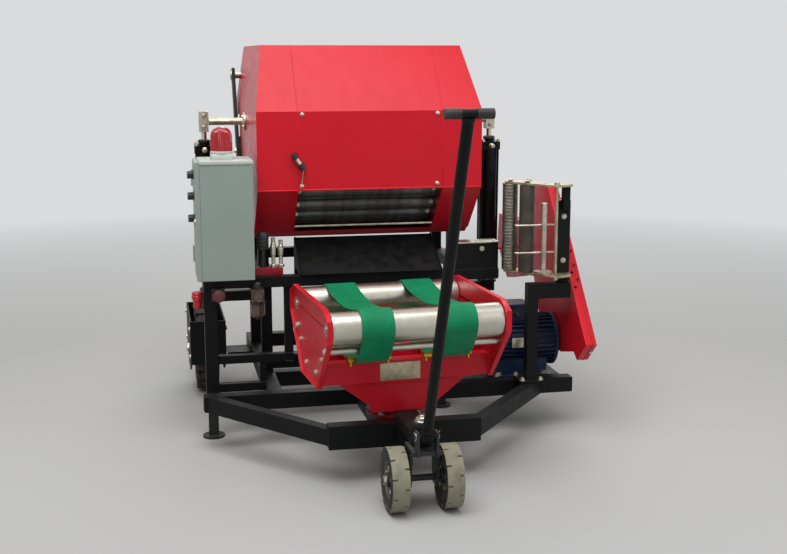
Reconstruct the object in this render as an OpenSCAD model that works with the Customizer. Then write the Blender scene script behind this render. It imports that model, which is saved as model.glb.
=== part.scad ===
// Small electric silage round baler with a bale wrapping table.
// X runs across the machine, Y rearwards from the tow handle to the feed chute, Z up.
// Sizes are in millimetres. Every piece is drawn in machine coordinates, whose
// zero is the hood's front face on the centre line at the floor, and then moved
// so that the middle of the whole machine's footprint is at the origin.

/* [Bale chamber] */
// Inside width between the two chamber plates
chamber_w = 527; // [420:1:640]
// Distance of the bale's axis behind the hood's front face
bale_y = 375; // [360:1:400]
// Height of the bale's axis
bale_z = 1055; // [1040:1:1080]
// Radius of the circle that the roller axes lie on
ring_r = 310; // [300:1:318]
// Diameter of one chamber roller
roller_d = 60; // [40:1:64]
// Number of places round the full circle of rollers
ring_places = 28; // [26:1:29]
// Direction of the first roller that stays when the hood opens
first_fixed_angle = 252; // [250:1:254]
// Rollers that stay in the lower half
fixed_count = 7; // [5:1:7]
// Rollers that the hood carries
hood_count = 18; // [16:1:18]
// Diameter of a roller's stub shaft
stub_d = 20; // [14:1:28]
// Thickness of the chamber plates
plate_t = 6; // [4:1:10]

/* [Hood] */
// Width over the side boxes
hood_w = 820; // [760:1:860]
// How far each upper side leans in
hood_lean = 37; // [0:1:80]
// Height of the front panel's lower edge
front_low_z = 897; // [870:1:920]
// Height of the crease between the front panel and the sloping panel
crease_z = 1176; // [1150:1:1200]
// Height of the roof
roof_z = 1407; // [1390:1:1450]
// Distance from the front face back to the roof's front edge
roof_front_y = 190; // [120:1:240]
// Depth of the hood from front to rear
hood_depth = 920; // [910:1:960]
// Thickness of the sheet metal
skin = 3; // [2:0.5:4]
// Distance of the hinge axis ahead of the hood's rear end
hinge_inset = 40; // [34:1:48]
// Height of the hinge axis
hinge_z = 1290; // [1280:1:1300]
// Diameter of the hinge shaft
hinge_d = 30; // [20:1:40]
// Radius of the hood's rear end round the hinge
tail_r = 168; // [140:1:172]
// Gap between the hood and the lower half
split_gap = 8; // [6:1:14]

/* [Lifting cylinders] */
// Distance of each cylinder from the centre line
cyl_x = 570; // [555:1:600]
// Eye of the rod behind the front face
eye_y = 460; // [450:1:470]
// Height of the rod's eye
eye_z = 1120; // [1110:1:1130]
// Lower pivot behind the front face
foot_y = 470; // [462:1:480]
// Height of the lower pivot
foot_z = 500; // [490:1:520]
// Side of the square end caps
cap_w = 75; // [60:1:84]
// Bore of the tube
bore_d = 63; // [50:1:66]
// Diameter of the piston rod
rod_d = 20; // [16:1:25]
// Diameter of the stud on the hood
stud_d = 28; // [20:1:34]

/* [Frame] */
// Height of the frame's underside
frame_z = 136; // [130:1:142]
// Height of the low frame's beams
beam_h = 56; // [50:1:60]
// Width of the low frame's beams
beam_w = 50; // [40:1:54]
// Width of the square tubes of the upper frame
tube_w = 40; // [30:1:44]
// Height of the upper frame's top face
bench_z = 590; // [580:1:600]
// Distance of the side rails' inner faces from the centre line
rail_x = 345; // [335:1:360]
// Left end of the front cross beam, from the centre line
outrigger_x = 622; // [616:1:636]
// Half width of the nose's front beam
nose_half_w = 252; // [230:1:270]
// Front face of the nose ahead of the hood
nose_y = 590; // [570:1:600]

/* [Main wheels] */
// Diameter of a main tyre
wheel_d = 350; // [320:1:360]
// Width of a main tyre
wheel_w = 90; // [70:1:100]
// Distance of a main wheel from the centre line
wheel_x = 574; // [568:1:580]
// Axle behind the hood's front face
wheel_y = 700; // [680:1:720]
// Diameter of the wheel's rim
rim_d = 210; // [180:1:230]
// Diameter of the axle
axle_d = 25; // [20:1:30]

/* [Nose wheels] */
// Diameter of a nose tyre
nose_wheel_d = 200; // [190:1:206]
// Width of a nose tyre
nose_wheel_w = 58; // [50:1:64]
// Distance between the middles of the two nose tyres
nose_wheel_gap = 168; // [166:1:190]
// Steering axis ahead of the hood's front face
steer_y = 820; // [810:1:840]
// Lean of the tow handle towards the front
handle_lean = 24; // [15:1:28]
// Length of the tow handle's stem
handle_len = 1070; // [900:1:1100]
// Length of the handle's cross bar
grip_len = 155; // [120:1:200]

/* [Wrapping table] */
// Turning axis ahead of the hood's front face
table_y = 430; // [426:1:440]
// Angle that the parked table is turned by, anticlockwise from above
park_turn = 5; // [0:1:8]
// Distance between the two table rollers
table_pitch = 430; // [400:1:440]
// Diameter of a table roller
table_roller_d = 108; // [90:1:114]
// Length of a table roller
table_roller_l = 560; // [520:1:566]
// Height of the table rollers' axes
table_roller_z = 540; // [530:1:560]
// Width of one belt
belt_w = 105; // [80:1:120]
// Distance of each belt from the middle
belt_x = 136; // [120:1:150]
// Thickness of a belt
belt_t = 5; // [3:1:6]

/* [Drive] */
// Motor axis behind the hood's front face
motor_y = 40; // [30:1:50]
// Shaft height of the motor above its feet
motor_h = 132; // [126:1:140]
// Inner face of the belt guard
guard_x = 712; // [710:1:718]
// Width of the belt guard
guard_w = 42; // [34:1:60]

/* [Film holder] */
// Distance of the film column from the centre line
film_x = 559; // [552:1:566]
// Film column ahead of the hood's front face
film_y = 160; // [155:1:170]
// Diameter of the film rollers
film_roller_d = 55; // [40:1:60]

/* [Control box] */
// Width of the box
ctrl_w = 184; // [150:1:190]
// Height of the box
ctrl_h = 417; // [380:1:460]
// Depth of the box
ctrl_d = 200; // [150:1:250]

/* [Hidden] */
$fn = 48;

gap = 0.3;                       // seat between two pieces that touch
slip = 0.05;                     // radial clearance of a shaft in its bore
clear = 5;                       // clearance between pieces that move past each other
half_ch = chamber_w / 2;
half_hood = hood_w / 2;
hinge_y = hood_depth - hinge_inset;
beam_top = frame_z + beam_h;

// The whole machine's footprint, which sets the origin
handle_low_y = steer_y + 62;     // tilting axis of the tow handle, ahead of the hood
handle_low_z = nose_wheel_d + 50;
handle_end_y = handle_low_y + handle_len * sin(handle_lean);
handle_end_z = handle_low_z + handle_len * cos(handle_lean);
grip_d = 28;
low_y = -handle_end_y - grip_d / 2;
chute_end_y = hinge_y + 210;
box_half = wheel_w / 2 + 26;      // half width of a wheel box
low_x = -wheel_x - box_half - 10;
high_x = guard_x + guard_w;
mid_x = (low_x + high_x) / 2;
mid_y = (low_y + chute_end_y) / 2;

// Chamber and hood geometry, in the plane of Y and Z
pitch_angle = 360 / ring_places;
split_angle = first_fixed_angle - pitch_angle / 2;
hinge = [hinge_y, hinge_z];
bale = [bale_y, bale_z];
split_point = bale + ring_r * [cos(split_angle), sin(split_angle)];
split_dir = (split_point - hinge) / norm(split_point - hinge);
split_normal = [-split_dir.y, split_dir.x];      // points to the lower half
far = 2500;
// The hood's side outline. Its lower front edge runs on past the split, which cuts it.
lip_slope = 155 / 160;
hood_outline = [
    [0, front_low_z], [far / 5, front_low_z - lip_slope * far / 5], [hood_depth, 400],
    [hood_depth, roof_z - 280], [hood_depth - 10, roof_z], [roof_front_y, roof_z], [0, crease_z]
];
hood_front = [
    [-half_hood, 300], [half_hood, 300], [half_hood, crease_z], [half_hood - hood_lean, roof_z],
    [hood_lean - half_hood, roof_z], [-half_hood, crease_z]
];
// The lower half's side outline
case_front_y = 160;
case_low_z = 700;
case_room = 45;                  // from the ring of rollers back to the rear wall
case_rear_y = bale_y + ring_r + roller_d / 2 + case_room;    // rear wall at its foot
case_wall_z = [825, hinge_z + 10];
case_wall_in = 15;               // how far the rear wall leans forward at its top
case_outline = [
    [case_front_y, 745], [case_front_y + 65, case_low_z], [case_rear_y - 200, case_low_z],
    [case_rear_y, case_wall_z[0]], [case_rear_y - case_wall_in, case_wall_z[1]],
    [case_front_y, case_wall_z[1]]
];
plate_x = half_ch + plate_t;     // outer face of a chamber plate
roller_l = chamber_w - 4 * gap;
mouth_half_w = half_ch - gap;
feed_z = [925, 1110];            // lower and upper edge of the feed opening

// A block between two opposite corners
module block(a, b) {
    translate(a) cube(b - a);
}

// A profile in the plane of Y and Z, drawn out along X
module along_x(points, x0, x1) {
    translate([x0, 0, 0]) rotate([90, 0, 90]) linear_extrude(x1 - x0) polygon(points);
}

// A profile in the plane of X and Z, drawn out along Y
module along_y(points, y0, y1) {
    translate([0, y1, 0]) rotate([90, 0, 0]) linear_extrude(y1 - y0) polygon(points);
}

// A profile in the plane of X and Y, drawn out along Z
module along_z(points, z0, z1) {
    translate([0, 0, z0]) linear_extrude(z1 - z0) polygon(points);
}

module rod_x(d, x0, x1, y, z) {
    translate([x0, y, z]) rotate([0, 90, 0]) cylinder(d = d, h = x1 - x0);
}

module rod_y(d, y0, y1, x, z) {
    translate([x, y0, z]) rotate([-90, 0, 0]) cylinder(d = d, h = y1 - y0);
}

module rod_z(d, z0, z1, x, y) {
    translate([x, y, z0]) cylinder(d = d, h = z1 - z0);
}

// A flat link with round ends between two points of the plane of Y and Z
module link_x(d, x0, x1, a, b) {
    rod_x(d, x0, x1, a.x, a.y);
    rod_x(d, x0, x1, b.x, b.y);
    side = left_of(unit(b - a)) * d / 2;
    along_x([a - side, b - side, b + side, a + side], x0, x1);
}

// A level beam between two points of the plan
module beam(a, b, w, z0, z1) {
    v = b - a;
    translate([a.x, a.y, z0]) rotate([0, 0, atan2(v.y, v.x)])
        translate([0, -w / 2, 0]) cube([norm(v), w, z1 - z0]);
}

// The same piece on both sides of the machine
module both_sides() {
    children();
    mirror([1, 0, 0]) children();
}

// A piece drawn on the right and moved to one side, 1 right and -1 left
module on_side(side) {
    if (side > 0) children();
    else mirror([1, 0, 0]) children();
}

// A polygon moved inwards by t, for points listed anticlockwise
function unit(v) = v / norm(v);
function left_of(v) = [-v.y, v.x];
function inset(p, t) = [
    for (i = [0 : len(p) - 1])
        let (
            n1 = left_of(unit(p[i] - p[(i + len(p) - 1) % len(p)])),
            n2 = left_of(unit(p[(i + 1) % len(p)] - p[i]))
        ) p[i] + t * (n1 + n2) / (1 + n1 * n2)
];

// Everything on one side of the split line, side 1 the lower half and -1 the hood
function split_side(side) =
    let (near = hinge + side * split_normal * split_gap / 2)
    [near - split_dir * far, near + split_dir * far,
        near + split_dir * far + side * split_normal * far,
        near - split_dir * far + side * split_normal * far];

module hood_region(x0, x1) {
    along_x(split_side(-1), x0, x1);
    rod_x(2 * tail_r, x0, x1, hinge.x, hinge.y);
}

module case_region(x0, x1) {
    difference() {
        along_x(split_side(1), x0, x1);
        rod_x(2 * tail_r + 2 * split_gap, x0 - 1, x1 + 1, hinge.x, hinge.y);
    }
}

// Moves a piece from machine coordinates to the origin under the machine's middle
module place() {
    translate([-mid_x, -mid_y, 0]) children();
}

// The low frame: side rails, cross beams, the two slanting beams of the nose and its
// taller front beam, the spine under the table, the neck with the steering head and
// the motor's plate
cross_y = [-105, 185, 450, wheel_y + 125];       // middles of the cross beams
rear_rail_y = cross_y[3] + beam_w / 2;
nose_z = [frame_z - 10, beam_top + 12];
slant_w = 40;
head_d = 70;
neck_h = 36;
neck_z = nose_wheel_d + 8;
motor_x = [345, 750];
motor_seat = beam_top - 19;
module chassis() {
    color("#151718") place() {
        half = beam_w / 2;
        both_sides() {
            block([rail_x, cross_y[1] - half, frame_z], [rail_x + beam_w, rear_rail_y, beam_top]);
            beam([nose_half_w - 20, -nose_y + 20], [outrigger_x - 14, cross_y[0]],
                slant_w, frame_z, beam_top);
            block([30, -nose_y + beam_w, frame_z], [80, cross_y[0] - half, beam_top]);
            block([rail_x + beam_w, wheel_y - 60, frame_z],
                [wheel_x - box_half, wheel_y + 60, frame_z + 22]);
        }
        block([-rail_x - beam_w, cross_y[0], frame_z], [-rail_x, cross_y[1], beam_top]);
        block([-nose_half_w, -nose_y, nose_z[0]], [nose_half_w, -nose_y + beam_w, nose_z[1]]);
        block([-outrigger_x, cross_y[0] - half, frame_z], [high_x - 20, cross_y[0] + half, beam_top]);
        block([-rail_x - beam_w, cross_y[1] - half, frame_z], [high_x - 20, cross_y[1] + half, beam_top]);
        for (y = [cross_y[2], cross_y[3]])
            block([-rail_x, y - half, frame_z], [rail_x, y + half, beam_top]);
        block([motor_x[0], cross_y[0], motor_seat - 8], [motor_x[1] - 24, cross_y[1], motor_seat]);
        difference() {
            union() {
                block([-35, -steer_y, neck_z], [35, -nose_y, neck_z + neck_h]);
                rod_z(head_d, neck_z, neck_z + 60, 0, -steer_y);
            }
            rod_z(king_d + 2 * slip, neck_z - 1, neck_z + 61, 0, -steer_y);
        }
        block([-35, -nose_y - 50, frame_z + 4], [35, -nose_y, neck_z + 5]);
    }
}

// The fork of each main wheel: two cheeks joined by a bridge before and behind the tyre
cheek_t = 6;
cheek_z = [95, 147, 325];         // foot, lower corner and top of a cheek
box_reach = wheel_d / 2 + 26;
module wheel_boxes() {
    cheek = [
        [wheel_y - 70, cheek_z[0]], [wheel_y + 70, cheek_z[0]], [wheel_y + box_reach, cheek_z[1]],
        [wheel_y + box_reach, cheek_z[2]], [wheel_y - box_reach, cheek_z[2]],
        [wheel_y - box_reach, cheek_z[1]]
    ];
    color("#17191a") place() both_sides() difference() {
        union() {
            for (side = [-1, 1])
                let (x = wheel_x + side * (box_half - cheek_t / 2))
                along_x(cheek, x - cheek_t / 2, x + cheek_t / 2);
            for (side = [-1, 1])
                let (y = wheel_y + side * (box_reach - cheek_t / 2))
                block([wheel_x - box_half + cheek_t, y - cheek_t / 2, cheek_z[1]],
                    [wheel_x + box_half - cheek_t, y + cheek_t / 2, cheek_z[2]]);
        }
        rod_x(axle_d + 2 * slip, wheel_x - box_half - 1, wheel_x + box_half + 1, wheel_y, wheel_d / 2);
    }
}

// The upper frame: four posts, the ring of top tubes, the seats of the chamber and the
// black valve box on the right end of the front tube
valve_x = [312, 480];
valve_h = 98;
post_x = rail_x + beam_w / 2;
post_y = [cross_y[1] - tube_w / 2, wheel_y - 60];
module bench_frame() {
    color("#151718") place() {
        both_sides() {
            for (y = post_y)
                block([post_x - tube_w / 2, y, beam_top],
                    [post_x + tube_w / 2, y + tube_w, bench_z - tube_w]);
            block([post_x - tube_w / 2, 0, bench_z - tube_w],
                [post_x + tube_w / 2, post_y[1] + tube_w, bench_z]);
            for (y = [250, 520])
                block([post_x - tube_w / 2, y, bench_z], [post_x + tube_w / 2, y + tube_w, case_low_z]);
        }
        block([lattice_x[0] + 23, 0, bench_z - tube_w], [valve_x[1], tube_w, bench_z]);
        block([valve_x[0], 4, bench_z], [valve_x[1], 66, bench_z + valve_h]);
        block([-post_x, post_y[1], bench_z - tube_w], [post_x, post_y[1] + tube_w, bench_z]);
    }
}

// The tubes at the left front that carry the control box and the leg
lattice_x = [-585, -401, -305];
lattice_post_w = 46;
lattice_z = [168, 198, 272, 302];        // lower and upper faces of the two cross bars
lattice_foot_z = 129;
module front_lattice() {
    x = lattice_x;
    out = x[0] + lattice_post_w / 2;
    color("#151718") place() {
        difference() {
            block([x[0] - lattice_post_w / 2, 0, lattice_foot_z], [out, lattice_post_w, bench_z]);
            block([x[0] - lattice_post_w / 2 + 5, 5, lattice_foot_z - 1],
                [out - 5, lattice_post_w - 5, 450]);
        }
        block([out, 10, lattice_z[2]], [x[2] + 15, 40, lattice_z[3]]);
        block([x[2] - 15, 10, lattice_z[3]], [x[2] + 15, 40, bench_z - tube_w]);
        block([x[1] - 12, 12, lattice_z[1]], [x[1] + 12, 38, lattice_z[2]]);
        block([out, 8, lattice_z[0]], [-rail_x - beam_w, 38, lattice_z[1]]);
    }
}

// The brackets that hold the lower pivots of the lifting cylinders
ear_t = 10;
lug_t = 20;
arm_z = foot_z - 46;                     // top of the bracket's arm
module cylinder_brackets() {
    inner = post_x + tube_w / 2;
    pin = lug_t / 2 + 2 + ear_t + 4;
    color("#1b1d1e") place() both_sides() {
        block([inner, foot_y - 20, arm_z - 40], [inner + 12, foot_y + 20, bench_z]);
        block([inner + 12, foot_y - 20, arm_z - 40], [cyl_x + 30, foot_y + 20, arm_z]);
        block([cyl_x - 32, foot_y - 36, arm_z], [cyl_x + 32, foot_y + 36, arm_z + 8]);
        for (side = [-1, 1])
            let (x = cyl_x + side * (lug_t / 2 + 2 + ear_t / 2))
            {
                block([x - ear_t / 2, foot_y - 25, arm_z + 8], [x + ear_t / 2, foot_y + 25, foot_z]);
                rod_x(50, x - ear_t / 2, x + ear_t / 2, foot_y, foot_z);
            }
        rod_x(rod_d, cyl_x - pin, cyl_x + pin, foot_y, foot_z);
    }
}

// The sheet-metal lower half of the chamber with the feed opening at the rear
module chamber_case() {
    color("#c81a2a") place() difference() {
        intersection() {
            difference() {
                along_x(case_outline, -half_hood, half_hood);
                along_x(inset(case_outline, skin), -half_hood + skin, half_hood - skin);
            }
            case_region(-half_hood - 1, half_hood + 1);
        }
        block([-mouth_half_w, case_rear_y - 60, feed_z[0]], [mouth_half_w, case_rear_y + 40, feed_z[1]]);
    }
}

function ring_at(angle) = bale + ring_r * [cos(angle), sin(angle)];

module stub_holes(angles, d) {
    for (a = angles)
        rod_x(d, half_ch - 1, half_ch + plate_t + 1, ring_at(a).x, ring_at(a).y);
}

fixed_angles = [for (k = [0 : fixed_count - 1]) first_fixed_angle + k * pitch_angle];
hood_angles = [for (k = [1 : hood_count]) first_fixed_angle - k * pitch_angle];

// The two inner plates of the lower half, which carry its rollers
module chamber_plates() {
    color("#8d1420") place() both_sides() difference() {
        intersection() {
            along_x(inset(case_outline, skin + gap), half_ch, half_ch + plate_t);
            case_region(half_ch - 1, half_ch + plate_t + 1);
        }
        stub_holes(fixed_angles, stub_d + 2 * slip);
    }
}

// One roller: a drum with its two stub shafts in the bores of the plates
module chamber_roller(angle) {
    p = ring_at(angle);
    rod_x(roller_d, -roller_l / 2, roller_l / 2, p.x, p.y);
    rod_x(stub_d, -plate_x - 8, plate_x + 8, p.x, p.y);
}

module chamber_rollers() {
    color("#9aa0a2") place() for (a = fixed_angles) chamber_roller(a);
}

// The two arms that carry the hood's hinge outside its side skins
arm_t = 12;
arm_x = half_hood + clear + 1;
arm_foot = [case_rear_y - 80, 920]; // lower end of the arm, on the case's side
module hinge_arms() {
    color("#151718") place() both_sides() difference() {
        union() {
            link_x(60, arm_x, arm_x + arm_t, arm_foot, hinge);
            link_x(56, half_hood, arm_x, arm_foot, arm_foot + 0.26 * (hinge - arm_foot));
        }
        rod_x(hinge_d + 2 * slip, arm_x - 1, arm_x + arm_t + 1, hinge.x, hinge.y);
    }
}

// The chute that the finished bale rolls down, between two cheeks
ramp_y = 178;
ramp_z = 702;
module bale_ramp() {
    color("#1a1c1d") place() {
        along_x([[-12, bench_z], [ramp_y, ramp_z - 6], [ramp_y, ramp_z], [-12, bench_z + 8]],
            -mouth_half_w, mouth_half_w);
        block([-mouth_half_w, ramp_y - 6, bench_z - tube_w], [mouth_half_w, ramp_y, ramp_z - 3]);
        both_sides() along_x([[0, bench_z], [ramp_y, bench_z], [ramp_y, ramp_z - 3], [0, bench_z + 5]],
            mouth_half_w - 6, mouth_half_w);
    }
}

// The rear wall of the lower half at a given height
function case_rear(z) =
    case_rear_y - case_wall_in * (z - case_wall_z[0]) / (case_wall_z[1] - case_wall_z[0]);

// The feed chute behind the machine: a sloping floor between two cheeks
module feed_chute() {
    color("#c81a2a") place() {
        w = half_ch + 40;
        low = feed_z[0] - 10;
        end = feed_z[0] + 70;
        along_x([[case_rear(low) + gap, low], [chute_end_y, end], [chute_end_y, end + skin],
            [case_rear(low + skin) + gap, low + skin]], -w, w);
        both_sides() along_x([[case_rear(low) + gap, low], [chute_end_y, end], [chute_end_y, end + 40],
            [chute_end_y - 140, feed_z[1]], [case_rear(feed_z[1]) + gap, feed_z[1]]], w, w + skin);
    }
}

// The grey control box with its door to the left
ctrl_z = bench_z + gap;
ctrl_x = -430;
module control_box() {
    color("#8a9690") place() difference() {
        block([ctrl_x - ctrl_w, -60, ctrl_z], [ctrl_x, -60 + ctrl_d, ctrl_z + ctrl_h]);
        block([ctrl_x - ctrl_w - 1, -60 + 12, ctrl_z + 12],
            [ctrl_x - 2, -60 + ctrl_d - 12, ctrl_z + ctrl_h - 12]);
    }
}

// The box's door, with three knobs and the two barrels of its hinge at the rear edge
door_t = 16;
knob_at = [0.12, 0.30, 0.49];    // share of the box's height below its top
barrel_d = 12;
module control_door() {
    x = ctrl_x - ctrl_w - gap;
    color("#8a9690") place() {
        block([x - door_t, -60, ctrl_z], [x, -60 + ctrl_d, ctrl_z + ctrl_h]);
        for (k = knob_at)
            rod_x(26, x - door_t - 22, x - door_t, -60 + ctrl_d / 2, ctrl_z + ctrl_h * (1 - k));
        for (z = [ctrl_z + 40, ctrl_z + ctrl_h - 100])
            rod_z(barrel_d, z, z + 60, x - door_t, -60 + ctrl_d);
    }
}

// The red beacon on its light base
module beacon() {
    color("#d3182a") place() {
        block([ctrl_x - 140, 0, ctrl_z + ctrl_h], [ctrl_x - 60, 80, ctrl_z + ctrl_h + 30]);
        translate([ctrl_x - 100, 40, ctrl_z + ctrl_h + 30]) rotate_extrude()
            polygon([[0, 0], [40, 0], [38, 66], [26, 84], [0, 90]]);
    }
}

// The electric motor: finned body, end shields, feet, terminal box and shaft
motor_z = motor_seat + motor_h;
motor_r = 100;
motor_core_r = 88;
fin_count = 26;
fin_t = 3;
motor_body_x = [motor_x[0] + 78, motor_x[1] - 45];
module motor() {
    x = motor_body_x;
    color("#1f4e86") place() {
        rod_x(2 * motor_core_r, x[0] - 3, x[1] - 1, motor_y, motor_z);
        for (k = [0 : fin_count - 1])
            translate([x[0] + 14, motor_y, motor_z]) rotate([k * 270 / (fin_count - 1) - 45, 0, 0])
                translate([0, motor_core_r - 4, -fin_t / 2])
                    cube([x[1] - x[0] - 28, motor_r - motor_core_r + 4, fin_t]);
        for (end = [x[0], x[1] - 12]) rod_x(2 * motor_r, end, end + 12, motor_y, motor_z);
        rod_x(120, x[1], guard_x - gap, motor_y, motor_z);
        for (side = [-1, 1]) {
            block([x[0] + 30, motor_y + side * 80 - 20, motor_seat],
                [x[1] - 30, motor_y + side * 80 + 20, motor_seat + 16]);
            block([x[0] + 40, motor_y + side * 66 - 10, motor_seat],
                [x[1] - 40, motor_y + side * 66 + 10, motor_z - 54]);
        }
        block([x[0] + 70, motor_y - 50, motor_z + motor_core_r - 8],
            [x[0] + 180, motor_y + 50, motor_z + motor_r + 46]);
    }
}

// The cowl over the motor's fan, with a slotted end
module motor_cowl() {
    x = motor_x[0];
    color("#1a3f70") place() difference() {
        union() {
            rod_x(2 * motor_r, x + 14, motor_body_x[0] - gap, motor_y, motor_z);
            translate([x + 14, motor_y, motor_z]) rotate([0, -90, 0])
                cylinder(r1 = motor_r, r2 = motor_r - 16, h = 14);
        }
        rod_x(2 * motor_r - 6, x + 16, motor_body_x[0] + 1, motor_y, motor_z);
        for (row = [-2 : 2])
            block([x - 1, motor_y - 68 + 8 * abs(row), motor_z + row * 24 - 6],
                [x + 20, motor_y + 68 - 8 * abs(row), motor_z + row * 24 + 6]);
    }
}

// The narrow folded sheet guard over the drive belt, which leans forward to its low
// front corner, with two columns of vents in its front edge
drive_at = [300, 790];                   // shaft of the chamber's drive
guard_nose = [motor_y - 358, motor_z + 53];
guard_crown = drive_at + [-165, 87];
guard_outline = [
    guard_nose, [motor_y - 272, motor_z - 23], [motor_y - 230, motor_z + 1],
    [motor_y - 100, motor_z - 33], [motor_y + 70, motor_z - 33], [motor_y + 160, motor_z + 55],
    drive_at + [110, -66], drive_at + [84, 62], guard_crown
];
guard_dir = unit(guard_crown - guard_nose);
vent_d = 10;
module belt_guard() {
    x = [guard_x, guard_x + guard_w];
    color("#d3182a") place() difference() {
        along_x(guard_outline, x[0], x[1]);
        along_x(inset(guard_outline, skin), x[0] + skin, x[1] - skin);
        for (column = [0, 1], k = [0 : 4 - column])
            let (
                s = 240 + 62 * (k + column / 2),
                p = guard_nose + s * guard_dir
            )
            translate([x[0] + guard_w * (1 + column) / 3, p.x, p.y])
                rotate([atan2(guard_dir.y, guard_dir.x) - 90, 0, 0]) rotate([-90, 0, 0])
                    cylinder(d = vent_d, h = 16, center = true, $fn = 16);
    }
}

// The guard of the second drive stage, on a bracket from the upper frame
module rear_guard() {
    mid = [wheel_y - 80, bench_z - 20];
    edge = [post_x + tube_w / 2, mid.x - 20];
    color("#c81a2a") place() {
        along_x([for (p = [[-168, -100], [20, -140], [170, -10], [150, 120], [-168, 130]]) mid + p],
            guard_x, guard_x + guard_w - 4);
        block([edge.x, edge.y, bench_z - 30], [guard_x, edge.y + tube_w, bench_z - 22]);
        block([edge.x, edge.y, bench_z - tube_w], [edge.x + 8, edge.y + tube_w, bench_z - 30]);
    }
}

// The column of the film holder on its foot plate, with its arm and upright bar
film_low_z = 586;                // underside of the lower plate
film_high_z = 912;               // underside of the upper plate
film_t = 8;
film_arm_z = [505, 560];
bar_x = [650, 700];
bar_top = 858;
bar_rear = -film_y + tube_w / 2;
bar_front = bar_rear - 20;
module film_column() {
    col = [film_x - tube_w / 2, -film_y - tube_w / 2];
    color("#151718") place() {
        block([film_x - 45, -film_y - 30, beam_top], [film_x + 45, cross_y[0] + 18, beam_top + 10]);
        block([col.x, col.y, beam_top + 10], [col.x + tube_w, col.y + tube_w, film_arm_z[0]]);
        block([col.x, col.y, film_arm_z[0]], [bar_x[1], col.y + tube_w, film_arm_z[1]]);
        block([bar_x[0], bar_front, film_arm_z[1]], [bar_x[1], bar_rear, bar_top]);
        block([bar_x[0] + 6, bar_front - 26, film_low_z - 12], [bar_x[1] - 6, bar_front, film_low_z]);
        block([bar_x[0] + 12, bar_front - 26, bar_top - 30], [bar_x[1] - 12, bar_front, film_high_z]);
    }
}

// The two plates that hold the stretching rollers and the spindle. They run slantwise
// from the bar to their free end, which lies further to the rear.
film_edge = bar_front - gap;
film_plan = [
    [618, film_edge - 68], [690, film_edge - 42], [bar_x[1], film_edge], [645, film_edge],
    [530, film_edge + 148], [500, film_edge + 148], [484, film_edge + 110]
];
film_roller_at = [[505, film_edge + 108], [550, film_edge + 48]];
spindle_at = [600, film_edge];
spindle_d = 20;
roll_disc_d = 64;
tie_at = [[568, film_edge + 88], [628, film_edge - 50]];
tie_d = 12;
film_stub_d = 16;
module film_plates() {
    color("#a89f88") place() {
        for (z = [film_low_z, film_high_z]) difference() {
            along_z(film_plan, z, z + film_t);
            for (p = film_roller_at) rod_z(film_stub_d + 2 * slip, z - 1, z + film_t + 1, p.x, p.y);
            rod_z(spindle_d + 2 * slip, z - 1, z + film_t + 1, spindle_at.x, spindle_at.y);
        }
        for (p = tie_at) rod_z(tie_d, film_low_z + film_t - 1, film_high_z + 1, p.x, p.y);
    }
}

// The two stretching rollers, each with its stub shafts
module film_roller(k) {
    p = film_roller_at[k];
    rod_z(film_roller_d, film_low_z + film_t + 2, film_high_z - 2, p.x, p.y);
    rod_z(film_stub_d, film_low_z - 3, film_high_z + film_t + 5, p.x, p.y);
}

module film_roller_left() {
    color("#8f8d84") place() film_roller(0);
}

module film_roller_right() {
    color("#2a2b2b") place() film_roller(1);
}

// The spindle for the film roll, with the disc that the roll stands on
module film_spindle() {
    color("#bdb8a8") place() {
        rod_z(spindle_d, film_low_z - 4, 850, spindle_at.x, spindle_at.y);
        rod_z(roll_disc_d, film_low_z + film_t + 1, film_low_z + film_t + 9, spindle_at.x, spindle_at.y);
    }
}

// The air filter and regulator under the top tube
module filter_unit() {
    color("#5c3a22") place() {
        x = -420;
        block([x - 22, -46, 505], [x + 22, -6, 552]);
        block([x - 14, -6, 540], [x + 14, 0, 560]);
        translate([x, -26, 450]) rotate_extrude() polygon([[0, 0], [18, 0], [25, 8], [25, 55], [0, 55]]);
        rod_y(36, -58, -46, x, 528);
    }
}

// A stand leg: a square inner tube on a round foot plate
module leg(w, top, x, y) {
    block([x - w / 2, y - w / 2, 6], [x + w / 2, y + w / 2, top]);
    rod_z(80, 0, 6, x, y);
}

leg_slack = 0.5;
module left_leg() {
    color("#2a2c2d") place()
        leg(lattice_post_w - 10 - 2 * leg_slack, 330, lattice_x[0], lattice_post_w / 2);
}

right_leg_w = 32;
right_leg_at = [320, cross_y[1] + beam_w / 2 + 22];
module right_leg() {
    color("#2a2c2d") place() leg(right_leg_w, beam_top + 40, right_leg_at.x, right_leg_at.y);
}

// The sleeve that the right leg slides in
module leg_sleeve() {
    outer = [1, 1] * (right_leg_w / 2 + 6);
    bore = [1, 1] * (right_leg_w / 2 + leg_slack);
    low = right_leg_at - outer;
    high = right_leg_at + outer;
    color("#151718") place() difference() {
        block([low.x, low.y, 90], [high.x, high.y, beam_top]);
        block([right_leg_at.x - bore.x, right_leg_at.y - bore.y, 89],
            [right_leg_at.x + bore.x, right_leg_at.y + bore.y, beam_top + 1]);
    }
}

// The fixed pedestal of the wrapping table
spigot_d = 60;
hub_z = beam_top + 30;           // underside of the turning hub
table_low_z = 322;
table_beam_top = table_low_z + 82;
module table_pedestal() {
    color("#8d1420") place() translate([0, -table_y, 0]) {
        rod_z(200, beam_top, beam_top + 14, 0, 0);
        rod_z(150, beam_top, hub_z - clear - 1, 0, 0);
        rod_z(spigot_d, beam_top, table_low_z + 8, 0, 0);
    }
}

// A piece of the table, drawn about its turning axis and turned as it is parked
module on_table() {
    place() translate([0, -table_y, 0]) rotate([0, 0, park_turn]) children();
}

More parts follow.
